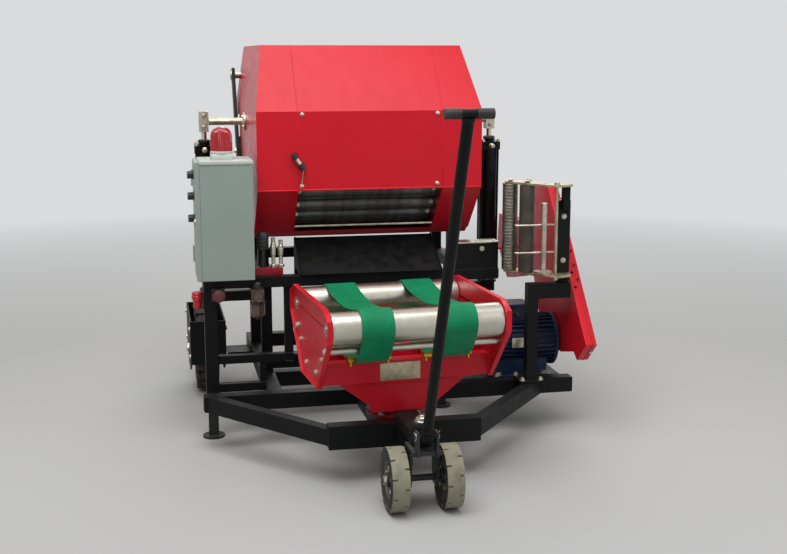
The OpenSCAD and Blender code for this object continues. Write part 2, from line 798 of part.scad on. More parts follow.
// The turning frame: two flanged side plates, two cross beams, the hub under them and
// two gussets that taper down to the hub
table_half = 275;
side_x = table_roller_l / 2 + 2;
side_t = 6;
flange = 12;
table_side = [
    [-118, table_low_z + 4], [118, table_low_z + 4], [table_half, table_roller_z - 32],
    [table_half, table_roller_z + 38], [table_pitch / 2, table_roller_z + 66],
    [-table_pitch / 2, table_roller_z + 66], [-table_half, table_roller_z + 38],
    [-table_half, table_roller_z - 32]
];
table_beam_at = 95;
gusset = [
    [-105, hub_z], [105, hub_z], [120, hub_z + 28], [230, table_low_z + 12],
    [-230, table_low_z + 12], [-120, hub_z + 28]
];
stub_table_d = 25;
module table_frame() {
    color("#d3182a") on_table() {
        both_sides() difference() {
            union() {
                along_x(table_side, side_x, side_x + side_t);
                difference() {
                    along_x(table_side, side_x + side_t, side_x + side_t + flange);
                    along_x(inset(table_side, 4), side_x + side_t - 1, side_x + side_t + flange + 1);
                }
            }
            for (side = [-1, 1])
                rod_x(stub_table_d + 2 * slip, side_x - 1, side_x + side_t + 1,
                    side * table_pitch / 2, table_roller_z);
        }
        for (side = [-1, 1]) {
            block([-side_x, side * table_beam_at - 25, table_low_z + 12],
                [side_x, side * table_beam_at + 25, table_beam_top]);
            along_y(gusset, side * 85 - 4, side * 85 + 4);
        }
        difference() {
            union() {
                block([-110, -table_beam_at - 10, table_low_z],
                    [110, table_beam_at + 10, table_low_z + 12]);
                rod_z(120, hub_z, table_low_z + 1, 0, 0);
            }
            rod_z(spigot_d + 2 * slip, hub_z - 1, table_low_z + 13, 0, 0);
        }
    }
}

// The two bright guide rods between the side plates, below the rollers
guide_d = 22;
guide_at = [table_pitch / 2 - 13, table_roller_z - 73];
module table_guides() {
    color("#c2bba6") on_table() for (side = [-1, 1])
        rod_x(guide_d, gap - side_x, side_x - gap, side * guide_at.x, guide_at.y);
}

// One table roller with its stub shafts
module table_roller(side) {
    y = side * table_pitch / 2;
    rod_x(table_roller_d, 1 - table_roller_l / 2, table_roller_l / 2 - 1, y, table_roller_z);
    rod_x(stub_table_d, -side_x - side_t - 6, side_x + side_t + 6, y, table_roller_z);
}

module table_roller_front() {
    color("#bcb8ac") on_table() table_roller(-1);
}

module table_roller_rear() {
    color("#bcb8ac") on_table() table_roller(1);
}

// The two slack belts round both rollers: the bale lies in the sagging upper run, and
// the lower run hangs down until it lies on the cross beams. Each run leaves the
// rollers at a tangent.
upper_slope = 14;
lower_slope = 64;
run_steps = 14;
arc_steps = 12;
function arc_points(c, r, a0, a1) = [
    for (k = [0 : arc_steps])
        let (a = a0 + (a1 - a0) * k / arc_steps)
        c + r / cos((a1 - a0) / arc_steps / 2) * [cos(a), sin(a)]
];
function run_points(half, z, sag, slope, dir) = [
    for (k = [1 : run_steps - 1])
        let (u = dir * (1 - 2 * k / run_steps))
        [u * half, z - sag * (1 - pow(abs(u), half * tan(slope) / sag))]
];
function belt_loop(r) =
    let (
        top = [table_pitch / 2 - r * sin(upper_slope), table_roller_z + r * cos(upper_slope)],
        low = [table_pitch / 2 + r * sin(lower_slope), table_roller_z - r * cos(lower_slope)],
        rest_z = table_beam_top + gap + belt_t + table_roller_d / 2 + gap - r
    )
    concat(
        arc_points([table_pitch / 2, table_roller_z], r, lower_slope - 90, 90 + upper_slope),
        run_points(top.x, top.y, top.x * tan(upper_slope) / 2, upper_slope, 1),
        arc_points([-table_pitch / 2, table_roller_z], r, 90 - upper_slope, 270 - lower_slope),
        run_points(low.x, low.y, low.y - rest_z, lower_slope, -1)
    );
module table_belts() {
    r = table_roller_d / 2 + gap;
    color("#0e8a5f") on_table() both_sides() difference() {
        along_x(belt_loop(r + belt_t), belt_x - belt_w / 2, belt_x + belt_w / 2);
        along_x(belt_loop(r), belt_x - belt_w / 2 - 1, belt_x + belt_w / 2 + 1);
    }
}

// The hood's sheet-metal shell with the mouth cut out between its side boxes
module hood_shell() {
    color("#d3182a") place() difference() {
        intersection() {
            difference() {
                intersection() {
                    along_x(hood_outline, -half_hood, half_hood);
                    along_y(hood_front, -1, hood_depth + 1);
                }
                intersection() {
                    along_x(inset(hood_outline, skin), -half_hood, half_hood);
                    along_y(inset(hood_front, skin), -1, hood_depth + 1);
                }
            }
            hood_region(-half_hood - 1, half_hood + 1);
        }
        block([-mouth_half_w, -1, 300], [mouth_half_w, bale_y, front_low_z]);
        rod_x(hinge_d + 2 * slip, -half_hood - 1, half_hood + 1, hinge.x, hinge.y);
    }
}

// The two inner plates that the hood's rollers turn in
module hood_plates() {
    color("#8d1420") place() both_sides() difference() {
        intersection() {
            along_x(inset(hood_outline, skin + gap), half_ch, half_ch + plate_t);
            hood_region(half_ch - 1, half_ch + plate_t + 1);
        }
        stub_holes(hood_angles, stub_d + 2 * slip);
        rod_x(hinge_d + 2 * slip, half_ch - 1, half_ch + plate_t + 1, hinge.x, hinge.y);
    }
}

module hood_rollers() {
    color("#9aa0a2") place() for (a = hood_angles) chamber_roller(a);
}

// The hinge shaft across the hood, ending in the two arms, and the zinc studs that the
// lifting cylinders push on
eye_w = 36;
eye_h = 78;
module hood_shaft() {
    color("#b4b0a4") place() rod_x(hinge_d, -arm_x - arm_t - 6, arm_x + arm_t + 6, hinge.x, hinge.y);
    color("#beb9aa") place() both_sides() {
        rod_x(70, half_hood + gap, half_hood + 8, eye_y, eye_z);
        rod_x(stud_d, half_hood + 8, cyl_x - eye_w / 2 - 2, eye_y, eye_z);
    }
}

// A lifting cylinder: lower eye, square caps, hollow tube and tie rods.
// It is drawn upright from its lower pivot and leant towards the rod's eye.
cyl_lean = atan2(eye_y - foot_y, eye_z - foot_z);
cyl_len = norm([eye_y - foot_y, eye_z - foot_z]);
cap_t = 32;
cap_low = 46;                            // lower cap above the pivot
tube_top = cyl_len - 122;                // upper cap's underside above the pivot
module lean_from_foot() {
    translate([cyl_x, foot_y, foot_z]) rotate([-cyl_lean, 0, 0]) children();
}

module cylinder_body() {
    lean_from_foot() {
        difference() {
            union() {
                rod_x(44, -lug_t / 2, lug_t / 2, 0, 0);
                block([-lug_t / 2, -22, 0], [lug_t / 2, 22, cap_low]);
            }
            rod_x(rod_d + 2 * slip, -lug_t, lug_t, 0, 0);
        }
        block([-cap_w / 2, -cap_w / 2, cap_low], [cap_w / 2, cap_w / 2, cap_low + cap_t]);
        difference() {
            union() {
                rod_z(bore_d + 8, cap_low + cap_t, tube_top, 0, 0);
                block([-cap_w / 2, -cap_w / 2, tube_top], [cap_w / 2, cap_w / 2, tube_top + cap_t]);
                rod_z(44, tube_top + cap_t, tube_top + cap_t + 12, 0, 0);
            }
            rod_z(bore_d + 2 * slip, cap_low + cap_t + 6, tube_top, 0, 0);
            rod_z(rod_d + 2 * slip, tube_top - 1, tube_top + cap_t + 13, 0, 0);
        }
        for (x = [-1, 1], y = [-1, 1])
            rod_z(8, cap_low + cap_t, tube_top, x * (cap_w / 2 - 7), y * (cap_w / 2 - 7));
    }
}

module cylinder_left() {
    color("#17191b") place() on_side(-1) cylinder_body();
}

module cylinder_right() {
    color("#17191b") place() on_side(1) cylinder_body();
}

// The piston rod with its piston and the zinc eye block beside the hood's stud
module rod_and_eye() {
    lean_from_foot() {
        rod_z(rod_d, cap_low + cap_t + 12, cyl_len - eye_h / 2, 0, 0);
        rod_z(bore_d, cap_low + cap_t + 12, cap_low + cap_t + 34, 0, 0);
        block([-eye_w / 2, -eye_w / 2, cyl_len - eye_h / 2], [eye_w / 2, eye_w / 2, cyl_len + eye_h / 2]);
    }
}

module rod_left() {
    color("#beb9aa") place() on_side(-1) rod_and_eye();
}

module rod_right() {
    color("#beb9aa") place() on_side(1) rod_and_eye();
}

// The steered fork: king pin, plate, two cheeks, axle and the handle's two ears
king_d = 30;
nose_axle_d = 20;
tilt_pin_d = 16;
fork_x = 38;
ear_x = 26;
fork_t = 8;
module steer_fork() {
    r = nose_wheel_d / 2;
    plate_z = [neck_z - 16, neck_z - 4];
    axle_half = nose_wheel_gap / 2 + nose_wheel_w / 2 + 10;
    color("#1c1e1f") place() translate([0, -steer_y, 0]) {
        rod_z(king_d, neck_z - 12, neck_z + 66, 0, 0);
        rod_z(54, neck_z + 60 + 1, neck_z + 72, 0, 0);
        block([-fork_x - fork_t, -72, plate_z[0]], [fork_x + fork_t, 40, plate_z[1]]);
        both_sides() {
            along_x([[-40, plate_z[1]], [-26, r - 22], [26, r - 22], [40, plate_z[1]]],
                fork_x, fork_x + fork_t);
            along_x([[-84, plate_z[0]], [-44, plate_z[0]], [-44, handle_low_z + 16],
                [-80, handle_low_z + 16]], ear_x, ear_x + fork_t);
        }
        rod_x(nose_axle_d, -axle_half, axle_half, 0, r);
        rod_x(tilt_pin_d, -ear_x - 12, ear_x + 12, steer_y - handle_low_y, handle_low_z);
    }
}

// The tow handle: eye, stem and cross bar
stem_d = 32;
module tow_handle() {
    color("#1d1c1e") place() translate([0, -handle_low_y, handle_low_z]) rotate([handle_lean, 0, 0]) {
        difference() {
            rod_x(38, -ear_x + 1, ear_x - 1, 0, 0);
            rod_x(tilt_pin_d + 2 * slip, -ear_x, ear_x, 0, 0);
        }
        rod_z(stem_d, 17, handle_len - grip_d / 2 + 4, 0, 0);
        rod_x(grip_d, -grip_len / 2, grip_len / 2, 0, handle_len);
        rod_x(16, -55, 55, 0, handle_len - 190);
    }
}

// A rubber tyre: section revolved about its axle, with a plain band in the middle of the
// tread and a ring of lugs beside it on each side, each as wide as a share of its pitch
module tyre(outer_d, inner_d, w, lug_h, lugs, share, band) {
    r = outer_d / 2;
    base = r - lug_h;
    tread_pitch = 2 * PI * r / lugs;
    rotate([0, 90, 0]) {
        rotate_extrude() translate([0, -w / 2]) polygon([
            [inner_d / 2, 6], [base - 20, 0], [base, w * 0.16], [base, w * 0.84],
            [base - 20, w], [inner_d / 2, w - 6]
        ]);
        rotate_extrude() translate([base - 2, -band / 2]) square([lug_h + 2, band]);
        intersection() {
            cylinder(r = r, h = w, center = true);
            for (k = [0 : lugs - 1], side = [0, 1])
                rotate([0, 0, (k + side / 2) * 360 / lugs])
                    translate([base - 6, -share * tread_pitch / 2, (side - 1) * (w / 2 - 2)])
                        cube([lug_h + 8, share * tread_pitch, w / 2 - 2]);
        }
    }
}

nose_bore = 112;
module nose_tyres() {
    color("#a8a491") place() both_sides()
        translate([nose_wheel_gap / 2, -steer_y, nose_wheel_d / 2])
        tyre(nose_wheel_d, nose_bore, nose_wheel_w, 5, 10, 0.88, nose_wheel_w - 34);
}

module nose_hubs() {
    color("#3a3b3a") place() both_sides() translate([nose_wheel_gap / 2, -steer_y, nose_wheel_d / 2])
        rotate([0, 90, 0]) difference() {
            union() {
                cylinder(d = nose_bore - 2 * gap, h = nose_wheel_w - 26, center = true);
                cylinder(d = 46, h = nose_wheel_w - 2, center = true);
            }
            cylinder(d = nose_axle_d + 2 * slip, h = nose_wheel_w + 2, center = true);
        }
}

module main_tyre(side) {
    place() translate([side * wheel_x, wheel_y, wheel_d / 2])
        tyre(wheel_d, rim_d, wheel_w, 10, 18, 0.54, 8);
}

// A pressed steel rim with its hub
module main_rim(side) {
    place() translate([side * wheel_x, wheel_y, wheel_d / 2]) rotate([0, 90, 0]) difference() {
        union() {
            difference() {
                cylinder(d = rim_d - 2 * gap, h = wheel_w - 16, center = true);
                for (s = [-1, 1]) translate([0, 0, s * (wheel_w - 16) / 2])
                    cylinder(d = rim_d - 24, h = 44, center = true);
            }
            cylinder(d = 64, h = wheel_w + 2, center = true);
        }
        cylinder(d = axle_d + 2 * slip, h = wheel_w + 4, center = true);
    }
}

module main_axles() {
    color("#8f9394") place() both_sides()
        rod_x(axle_d, wheel_x - box_half - 10, wheel_x + box_half + 10, wheel_y, wheel_d / 2);
}

module tyre_left() {
    color("#1b1c1c") main_tyre(-1);
}

module tyre_right() {
    color("#1b1c1c") main_tyre(1);
}

module rim_left() {
    color("#c21a2a") main_rim(-1);
}

module rim_right() {
    color("#c21a2a") main_rim(1);
}

chassis();
wheel_boxes();
main_axles();
bench_frame();
front_lattice();
leg_sleeve();
cylinder_brackets();
chamber_case();
chamber_plates();
chamber_rollers();
hinge_arms();
bale_ramp();
feed_chute();
control_box();
control_door();
beacon();
motor();
motor_cowl();
belt_guard();
rear_guard();
film_column();
film_plates();
film_roller_left();
film_roller_right();
film_spindle();
filter_unit();
left_leg();
right_leg();
table_pedestal();
table_frame();
table_guides();
table_roller_front();
table_roller_rear();
table_belts();
hood_shell();
hood_plates();
hood_rollers();
hood_shaft();
cylinder_left();
cylinder_right();
rod_left();
rod_right();
steer_fork();
tow_handle();
nose_tyres();
nose_hubs();
tyre_left();
tyre_right();
rim_left();
rim_right();
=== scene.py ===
# Small electric silage round baler with a wrapping table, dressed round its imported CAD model.
# The machine's own zero is the hood's front face on the centre line at the floor, in
# millimetres; spot() turns a place from there into the frame of the CAD model.
import math

import bmesh
import bpy
from mathutils import Matrix, Vector


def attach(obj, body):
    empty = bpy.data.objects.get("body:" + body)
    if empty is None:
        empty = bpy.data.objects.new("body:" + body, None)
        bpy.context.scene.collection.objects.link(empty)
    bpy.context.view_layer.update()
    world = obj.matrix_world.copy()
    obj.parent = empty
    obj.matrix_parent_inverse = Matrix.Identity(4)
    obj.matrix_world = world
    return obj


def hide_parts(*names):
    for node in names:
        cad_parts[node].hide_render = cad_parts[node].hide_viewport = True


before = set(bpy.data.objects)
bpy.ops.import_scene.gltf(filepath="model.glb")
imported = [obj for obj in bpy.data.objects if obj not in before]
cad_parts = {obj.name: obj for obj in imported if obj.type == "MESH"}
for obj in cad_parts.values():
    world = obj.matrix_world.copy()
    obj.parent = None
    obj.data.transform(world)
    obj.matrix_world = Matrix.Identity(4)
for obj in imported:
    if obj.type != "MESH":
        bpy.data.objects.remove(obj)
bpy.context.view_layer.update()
MID_X, MID_Y = 49.5, -120.604
TO_FRAME = Matrix.Scale(0.001, 4) @ Matrix.Translation((-MID_X, -MID_Y, 0))


def spot(x, y, z):
    return TO_FRAME @ Vector((x, y, z))


# The camera: eye height, pitch and direction follow the photograph, with a longer lens
# aimed at the machine, so that the machine fills the picture
camera = bpy.data.objects.new("camera", bpy.data.cameras.new("camera"))
bpy.context.scene.collection.objects.link(camera)
camera.location = spot(-790, -4200, 1370)
camera.rotation_euler = (math.radians(90 - 10.5465), 0, math.radians(-11.7118))
camera.data.lens = 54.4346
camera.data.clip_start = 0.05
bpy.context.scene.camera = camera
bpy.context.scene.view_settings.view_transform = "Standard"


# Low frame: welded steel tube and channel under black gloss enamel. The finish is smooth
# with faint orange peel, dusty on its top faces and scuffed here and there.
def linear(hex_colour):
    parts = [int(hex_colour[i:i + 2], 16) / 255 for i in (1, 3, 5)]
    return [p / 12.92 if p <= 0.04045 else ((p + 0.055) / 1.055) ** 2.4 for p in parts] + [1.0]


def add(tree, kind, inputs={}, **settings):
    """Adds a shader node. An input is a number, a hex colour or another node's socket."""
    node = tree.nodes.new("ShaderNode" + kind)
    for key, value in settings.items():
        setattr(node, key, value)
    for key, value in inputs.items():
        if isinstance(value, bpy.types.NodeSocket):
            tree.links.new(value, node.inputs[key])
        else:
            node.inputs[key].default_value = linear(value) if isinstance(value, str) else value
    return node


def per(size_mm):
    """Texture scale at which one feature is about size_mm wide."""
    return 1000 / size_mm


def begin(name, **constants):
    """A new material, its tree, its shader with the given constants, and its coordinates."""
    material = bpy.data.materials.new(name)
    material.use_nodes = True
    tree = material.node_tree
    shader = tree.nodes["Principled BSDF"]
    for key, value in constants.items():
        shader.inputs[key.replace("_", " ")].default_value = value
    return material, tree, shader, add(tree, "TexCoord").outputs


def finish(tree, shader, colour, rough, relief, depth_mm, strength):
    """Joins a colour, a roughness and a relief, sockets all three, to the shader."""
    bump = add(tree, "Bump", {"Height": relief, "Strength": strength, "Distance": depth_mm / 1000})
    tree.links.new(colour, shader.inputs["Base Color"])
    tree.links.new(rough, shader.inputs["Roughness"])
    tree.links.new(bump.outputs[0], shader.inputs["Normal"])


def enamel(name, colour, shade, scuff, rough=0.3, dust=0.1, peel_mm=3.2, **constants):
    """Sprayed enamel: slow drift to a darker shade, dust on top faces, small scuffs and
    the orange peel that a spray gun leaves."""
    material, tree, shader, place = begin(name, Coat_Roughness=0.12, **constants)
    drift = add(tree, "TexNoise", {"Vector": place["Object"], "Scale": per(210)}).outputs[0]
    tone = add(tree, "MapRange", {0: drift, 1: 0.35, 2: 0.7, 4: 0.6}).outputs[0]
    body = add(tree, "Mix", {0: tone, 6: colour, 7: shade}, data_type="RGBA").outputs[2]
    up = add(tree, "SeparateXYZ", {0: place["Normal"]}).outputs[2]
    level = add(tree, "MapRange", {0: up, 1: 0.6, 2: 1.0}).outputs[0]
    specks = add(tree, "TexNoise", {"Vector": place["Object"], "Scale": per(40), "Detail": 6}).outputs[0]
    film = add(tree, "MapRange", {0: specks, 1: 0.35, 2: 0.75, 4: dust}).outputs[0]
    settled = add(tree, "Math", {0: level, 1: film}, operation="MULTIPLY").outputs[0]
    dusted = add(tree, "Mix", {0: settled, 6: body, 7: "#9A9186"}, data_type="RGBA").outputs[2]
    rubbed = add(tree, "TexNoise", {"Vector": place["Object"], "Scale": per(13), "Detail": 8}).outputs[0]
    marks = add(tree, "MapRange", {0: rubbed, 1: 0.71, 2: 0.79, 4: 0.22}).outputs[0]
    worn = add(tree, "Mix", {0: marks, 6: dusted, 7: scuff}, data_type="RGBA").outputs[2]
    haze = add(tree, "MapRange", {0: specks, 1: 0.3, 2: 0.75, 3: rough - 0.04, 4: rough + 0.1}).outputs[0]
    matt = add(tree, "Math", {0: settled, 1: 0.6, 2: haze}, operation="MULTIPLY_ADD").outputs[0]
    peel = add(tree, "TexNoise", {"Vector": place["Object"], "Scale": per(peel_mm), "Detail": 1}).outputs[0]
    finish(tree, shader, worn, matt, peel, 0.3, 0.18)
    return material


black_enamel = enamel("black_enamel", "#0D0E0F", "#131415", "#252627", 0.48, 0.04, Specular_IOR_Level=0.16)


def dress(material, *nodes, edge=1.5):
    """Puts a finish on CAD nodes and rounds their sharp edges."""
    for name in nodes:
        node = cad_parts[name]
        if not node.material_slots:
            node.data.materials.append(material)
        for holder in node.material_slots:
            holder.link = "OBJECT"
            holder.material = material
        node.modifiers.new("weld", "WELD").merge_threshold = 1e-5
        bevel = node.modifiers.new("edges", "BEVEL")
        bevel.width = edge / 1000
        bevel.segments = 2
        bevel.limit_method = "ANGLE"
        bevel.angle_limit = math.radians(32)
        bevel.use_clamp_overlap = True
        normals = node.modifiers.new("normals", "WEIGHTED_NORMAL")
        normals.keep_sharp = False
        normals.weight = 100


dress(black_enamel, "chassis", edge=2.5)
X, Y, Z = Vector((1, 0, 0)), Vector((0, 1, 0)), Vector((0, 0, 1))


def turned(bm, profile, at, axis=Z, steps=24, closed=False):
    """Turns a profile of (radius, height) points about an axis through a point, in machine
    millimetres. A closed profile makes a ring, an open one gets flat ends."""
    turn = Matrix.Translation(at) @ Vector(axis).to_track_quat("Z", "Y").to_matrix().to_4x4()
    rings = []
    for radius, height in profile:
        count = steps if radius > 1e-6 else 1
        rings.append([bm.verts.new(turn @ Vector((radius * math.cos(a), radius * math.sin(a), height)))
                      for a in (2 * math.pi * k / steps for k in range(count))])
    pairs = list(zip(rings, rings[1:])) + ([(rings[-1], rings[0])] if closed else [])
    for low, high in pairs:
        for k in range(steps):
            j = (k + 1) % steps
            if len(low) == 1:
                bm.faces.new((low[0], high[j], high[k]))
            elif len(high) == 1:
                bm.faces.new((low[k], low[j], high[0]))
            else:
                bm.faces.new((low[k], low[j], high[j], high[k]))
    if not closed:
        for ring in (rings[0], rings[-1]):
            if len(ring) > 1:
                bm.faces.new(ring)


def block(bm, low, high, edge=1.5, place=Matrix()):
    """A bar or plate with rounded edges between two opposite corners."""
    low, high = Vector(low), Vector(high)
    size = high - low
    made = bmesh.ops.create_cube(bm, size=1, matrix=place @ Matrix.Translation((low + high) / 2)
                                 @ Matrix.Diagonal((size.x, size.y, size.z, 1)))
    bmesh.ops.bevel(bm, geom=list({e for v in made["verts"] for e in v.link_edges}),
                    offset=min(edge, min(size) * 0.4), segments=2, profile=0.5, affect="EDGES")


def drawn(bm, path, radius, steps=8, ripple=0.0, closed=False):
    """Draws a round section along a path. A ripple makes a weld bead or a spring's look."""
    path = [Vector(p) for p in path]
    rings, side = [], None
    for k, point in enumerate(path):
        before = path[k - 1] if closed or k else path[0]
        after = path[(k + 1) % len(path)] if closed else path[min(k + 1, len(path) - 1)]
        ahead = (after - before).normalized()
        side = side or ahead.orthogonal().normalized()
        side = (side - ahead * side.dot(ahead)).normalized()
        r = radius * (1 + ripple * math.sin(k * 2.1))
        rings.append([bm.verts.new(point + r * (math.cos(a) * side + math.sin(a) * ahead.cross(side)))
                      for a in (2 * math.pi * i / steps for i in range(steps))])
    for low, high in list(zip(rings, rings[1:])) + ([(rings[-1], rings[0])] if closed else []):
        for k in range(steps):
            j = (k + 1) % steps
            bm.faces.new((low[k], low[j], high[j], high[k]))
    if not closed:
        bm.faces.new(rings[0])
        bm.faces.new(rings[-1])


def bead(bm, a, b, radius=2.6):
    """A weld bead from a to b, with the ripples of its run."""
    a, b = Vector(a), Vector(b)
    count = max(2, int((b - a).length / 3.2))
    drawn(bm, [a.lerp(b, k / count) for k in range(count + 1)], radius, 6, 0.16)


def hexagon(bm, at, axis, size, tall=0.62, washer=True, stud=0.0):
    """A hexagon head or nut for a thread of the given size, on its washer, with the end of
    its stud."""
    base = size * 0.18 if washer else 0
    if washer:
        turned(bm, [(size * 1.12, 0), (size * 1.12, size * 0.12), (size * 1.04, base)], at, axis, 18)
    top = base + size * tall
    turned(bm, [(size * 0.95, base), (size * 0.95, top - size * 0.12), (size * 0.8, top)], at, axis, 6)
    if stud:
        turned(bm, [(size / 2, base), (size / 2, top + stud - 1), (size / 2 - 1, top + stud)], at, axis, 12)


def piece(name, bm, material, body, place=Matrix()):
    """Makes the drawn mesh a piece that rides on a body. place moves it, in millimetres."""
    bmesh.ops.recalc_face_normals(bm, faces=bm.faces)
    bmesh.ops.transform(bm, matrix=TO_FRAME @ place, verts=bm.verts)
    for face in bm.faces:
        face.smooth = True
    for e in bm.edges:
        e.smooth = len(e.link_faces) != 2 or e.calc_face_angle(0) < math.radians(34)
    mesh = bpy.data.meshes.new(name)
    bm.to_mesh(mesh)
    bm.free()
    mesh.materials.append(material)
    made = bpy.data.objects.new(name, mesh)
    bpy.context.scene.collection.objects.link(made)
    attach(made, body)
    return made


bm = bmesh.new()
for side in (-1, 1):
    for y in (165, 640):
        for dx in (-20, 20):
            bead(bm, (side * (370 + dx), y, 192.5), (side * (370 + dx), y + 40, 192.5))
            bead(bm, (side * (370 + dx), y, 549.5), (side * (370 + dx), y + 40, 549.5))
        bead(bm, (side * 350, y, 192.5), (side * 390, y, 192.5))
    for y in (250, 520):
        for dx in (-20, 20):
            bead(bm, (side * (370 + dx), y, 590.5), (side * (370 + dx), y + 40, 590.5))
    bead(bm, (side * 30, -540, 190), (side * 80, -540, 190))
    bead(bm, (side * 222, -540, 190), (side * 252, -540, 190))
    bead(bm, (side * 581, -131, 192), (side * 611, -110, 192))
bead(bm, (-35, -590.5, 213), (35, -590.5, 213), 3)
bead(bm, (-35, -640.5, 213), (35, -640.5, 213), 3)
turned(bm, [(35, 2), (38, 1), (38.5, 3.5), (35, 5)], (0, -820, 240), Z, 36, True)
piece("frame_weld_beads", bm, black_enamel, "base")


# Plugs in the open tube ends: moulded black polythene, pressed in. Matt, with the fine
# grain of the mould and a little grey bloom.
def moulded(name, colour, rough, grain_mm=1.8, relief=0.25, bloom="#6B6862", share=0.3, **constants):
    material, tree, shader, place = begin(name, **constants)
    cloud = add(tree, "TexNoise", {"Vector": place["Object"], "Scale": per(45), "Detail": 5}).outputs[0]
    film = add(tree, "MapRange", {0: cloud, 1: 0.4, 2: 0.8, 4: share}).outputs[0]
    body = add(tree, "Mix", {0: film, 6: colour, 7: bloom}, data_type="RGBA").outputs[2]
    matt = add(tree, "MapRange", {0: cloud, 1: 0.3, 2: 0.8, 3: rough - 0.06, 4: rough + 0.12}).outputs[0]
    grain = add(tree, "TexNoise", {"Vector": place["Object"], "Scale": per(grain_mm), "Detail": 2}).outputs[0]
    finish(tree, shader, body, matt, grain, 0.25, relief)
    return material


black_polythene = moulded("black_polythene", "#101112", 0.46)
bm = bmesh.new()
for x, y in ((-622, -105), (734, -105), (734, 185)):
    out = 1 if x > 0 else -1
    block(bm, (min(x, x + out * 3), y - 22, 139), (max(x, x + out * 3), y + 22, 189), 1.4)
block(bm, (480, 3, 553), (483, 37, 587), 1.4)
piece("tube_end_plugs", bm, black_polythene, "base")


# Bolts of the frame: cold-forged steel with a thin zinc plate. It is bright on the flats,
# with yellowish and duller patches, and shows fine drawing marks.
def plated(name, colour, tint, rough, grain_mm=5.0, stretch=(1, 1, 1), relief=0.12, vary=0.22):
    material, tree, shader, place = begin(name, Metallic=1.0)
    cloud = add(tree, "TexNoise", {"Vector": place["Object"], "Scale": per(28), "Detail": 5}).outputs[0]
    tone = add(tree, "MapRange", {0: cloud, 1: 0.35, 2: 0.7}).outputs[0]
    body = add(tree, "Mix", {0: tone, 6: colour, 7: tint}, data_type="RGBA").outputs[2]
    along = add(tree, "Mapping", {"Vector": place["Object"], "Scale": stretch}).outputs[0]
    grain = add(tree, "TexNoise", {"Vector": along, "Scale": per(grain_mm), "Detail": 6}).outputs[0]
    matt = add(tree, "MapRange", {0: grain, 1: 0.3, 2: 0.75, 3: rough - vary / 3, 4: rough + vary}).outputs[0]
    finish(tree, shader, body, matt, grain, 0.12, relief)
    return material


zinc_plate = plated("zinc_plate", "#CFCBBE", "#A9A18A", 0.34)
bm = bmesh.new()
for x in (-61, 61):
    for y in (-491, -369):
        hexagon(bm, (x, y, 206), Z, 11)
for x in (475, 653):
    for y in (-40, 120):
        hexagon(bm, (x, y, 189), Z, 12)
for x in (525, 593):
    for y in (-178, -98):
        hexagon(bm, (x, y, 202), Z, 10, stud=4)
for side in (-1, 1):
    for z in (475, 545):
        hexagon(bm, (side * 402, 478, z), (side, 0, 0), 11)
    for dx in (-22, 22):
        hexagon(bm, (side * 570 + dx, 497, 462), Z, 8)
piece("frame_bolts", bm, zinc_plate, "base")


# Stand legs: square tube that slides in the frame, on a round pressed foot. Dark enamel,
# rubbed by the sliding; the left leg is held by a clamp screw with a bent handle.
leg_enamel = enamel("leg_enamel", "#1E2021", "#2C2E2F", "#6B6C6D", 0.5, 0.3, Specular_IOR_Level=0.35)
dress(leg_enamel, "left_leg", "right_leg")
for name, body, x, y, w in (("left", "left_leg", -585, 23, 17.5), ("right", "right_leg", 320, 232, 16)):
    bm = bmesh.new()
    for turn in (Matrix.Rotation(math.pi / 2 * k, 3, "Z") for k in range(4)):
        bead(bm, Vector((x, y, 7)) + turn @ Vector((w, w, 0)), Vector((x, y, 7)) + turn @ Vector((w, -w, 0)))
    turned(bm, [(39.6, 5), (39.6, 7.5), (36, 8.8), (33, 7.2), (33, 5)], (x, y, 0), Z, 40, True)
    piece(name + "_foot_rim", bm, leg_enamel, body)
bm = bmesh.new()
hexagon(bm, (-585, 0, 150), -Y, 15)
drawn(bm, [(-585, 0, 150), (-585, -24, 150)], 6, 14)
drawn(bm, [(-585, -20, 150), (-597, -26, 142), (-606, -27, 128), (-607, -27, 112)], 4.5, 12)
piece("leg_clamp_screw", bm, zinc_plate, "base")
dress(black_enamel, "leg_sleeve")

# Left front posts and upper frame: square tubes, welded, under the same black enamel.
# The open lower end of the left post is the sleeve of its leg.
dress(black_enamel, "front_lattice", "bench_frame", edge=2.5)
bm = bmesh.new()
for z in (272, 302):
    bead(bm, (-562, 10, z), (-562, 40, z))
    bead(bm, (-320, 9.5, z), (-290, 9.5, z))
for z in (168, 198):
    bead(bm, (-562, 8, z), (-562, 38, z))
for z in (198, 272):
    bead(bm, (-413, 12, z), (-389, 12, z), 2.2)
bead(bm, (-562, 0, 552), (-562, 0, 588))
bead(bm, (-320, 9.5, 550), (-290, 9.5, 550))
for x in (312, 480):
    bead(bm, (x, 6, 590.5), (x, 40, 590.5))
piece("post_weld_beads", bm, black_enamel, "base")

# Mushroom button and supply socket on the left post: moulded parts, a dull dark red
# cap and a bright red socket with a hinged lid
dark_red_nylon = moulded("dark_red_nylon", "#5E1A2B", 0.35, 3.0, 0.1)
signal_red_nylon = moulded("signal_red_nylon", "#C4202A", 0.3, 3.0, 0.1, share=0.12)
bm = bmesh.new()
turned(bm, [(0, -34), (15, -33), (22, -29), (23, -25), (20, -20), (11, -17), (11, -8), (16, -7), (16, 0)],
       (-558, -6, 531), Y, 32)
piece("stop_button", bm, dark_red_nylon, "base")
bm = bmesh.new()
block(bm, (-582, -8, 507), (-534, 0, 555), 3)
block(bm, (-612, 6, 478), (-606, 40, 540), 2)
piece("button_and_socket_seats", bm, black_polythene, "base")
bm = bmesh.new()
turned(bm, [(14, 0), (16, 3), (16, 30), (20, 31), (20, 56), (17, 60), (0, 60)], (-630, 24, 480), Z, 28)
turned(bm, [(20, 40), (21.5, 42), (21.5, 46), (20, 48)], (-630, 24, 480), Z, 28, True)
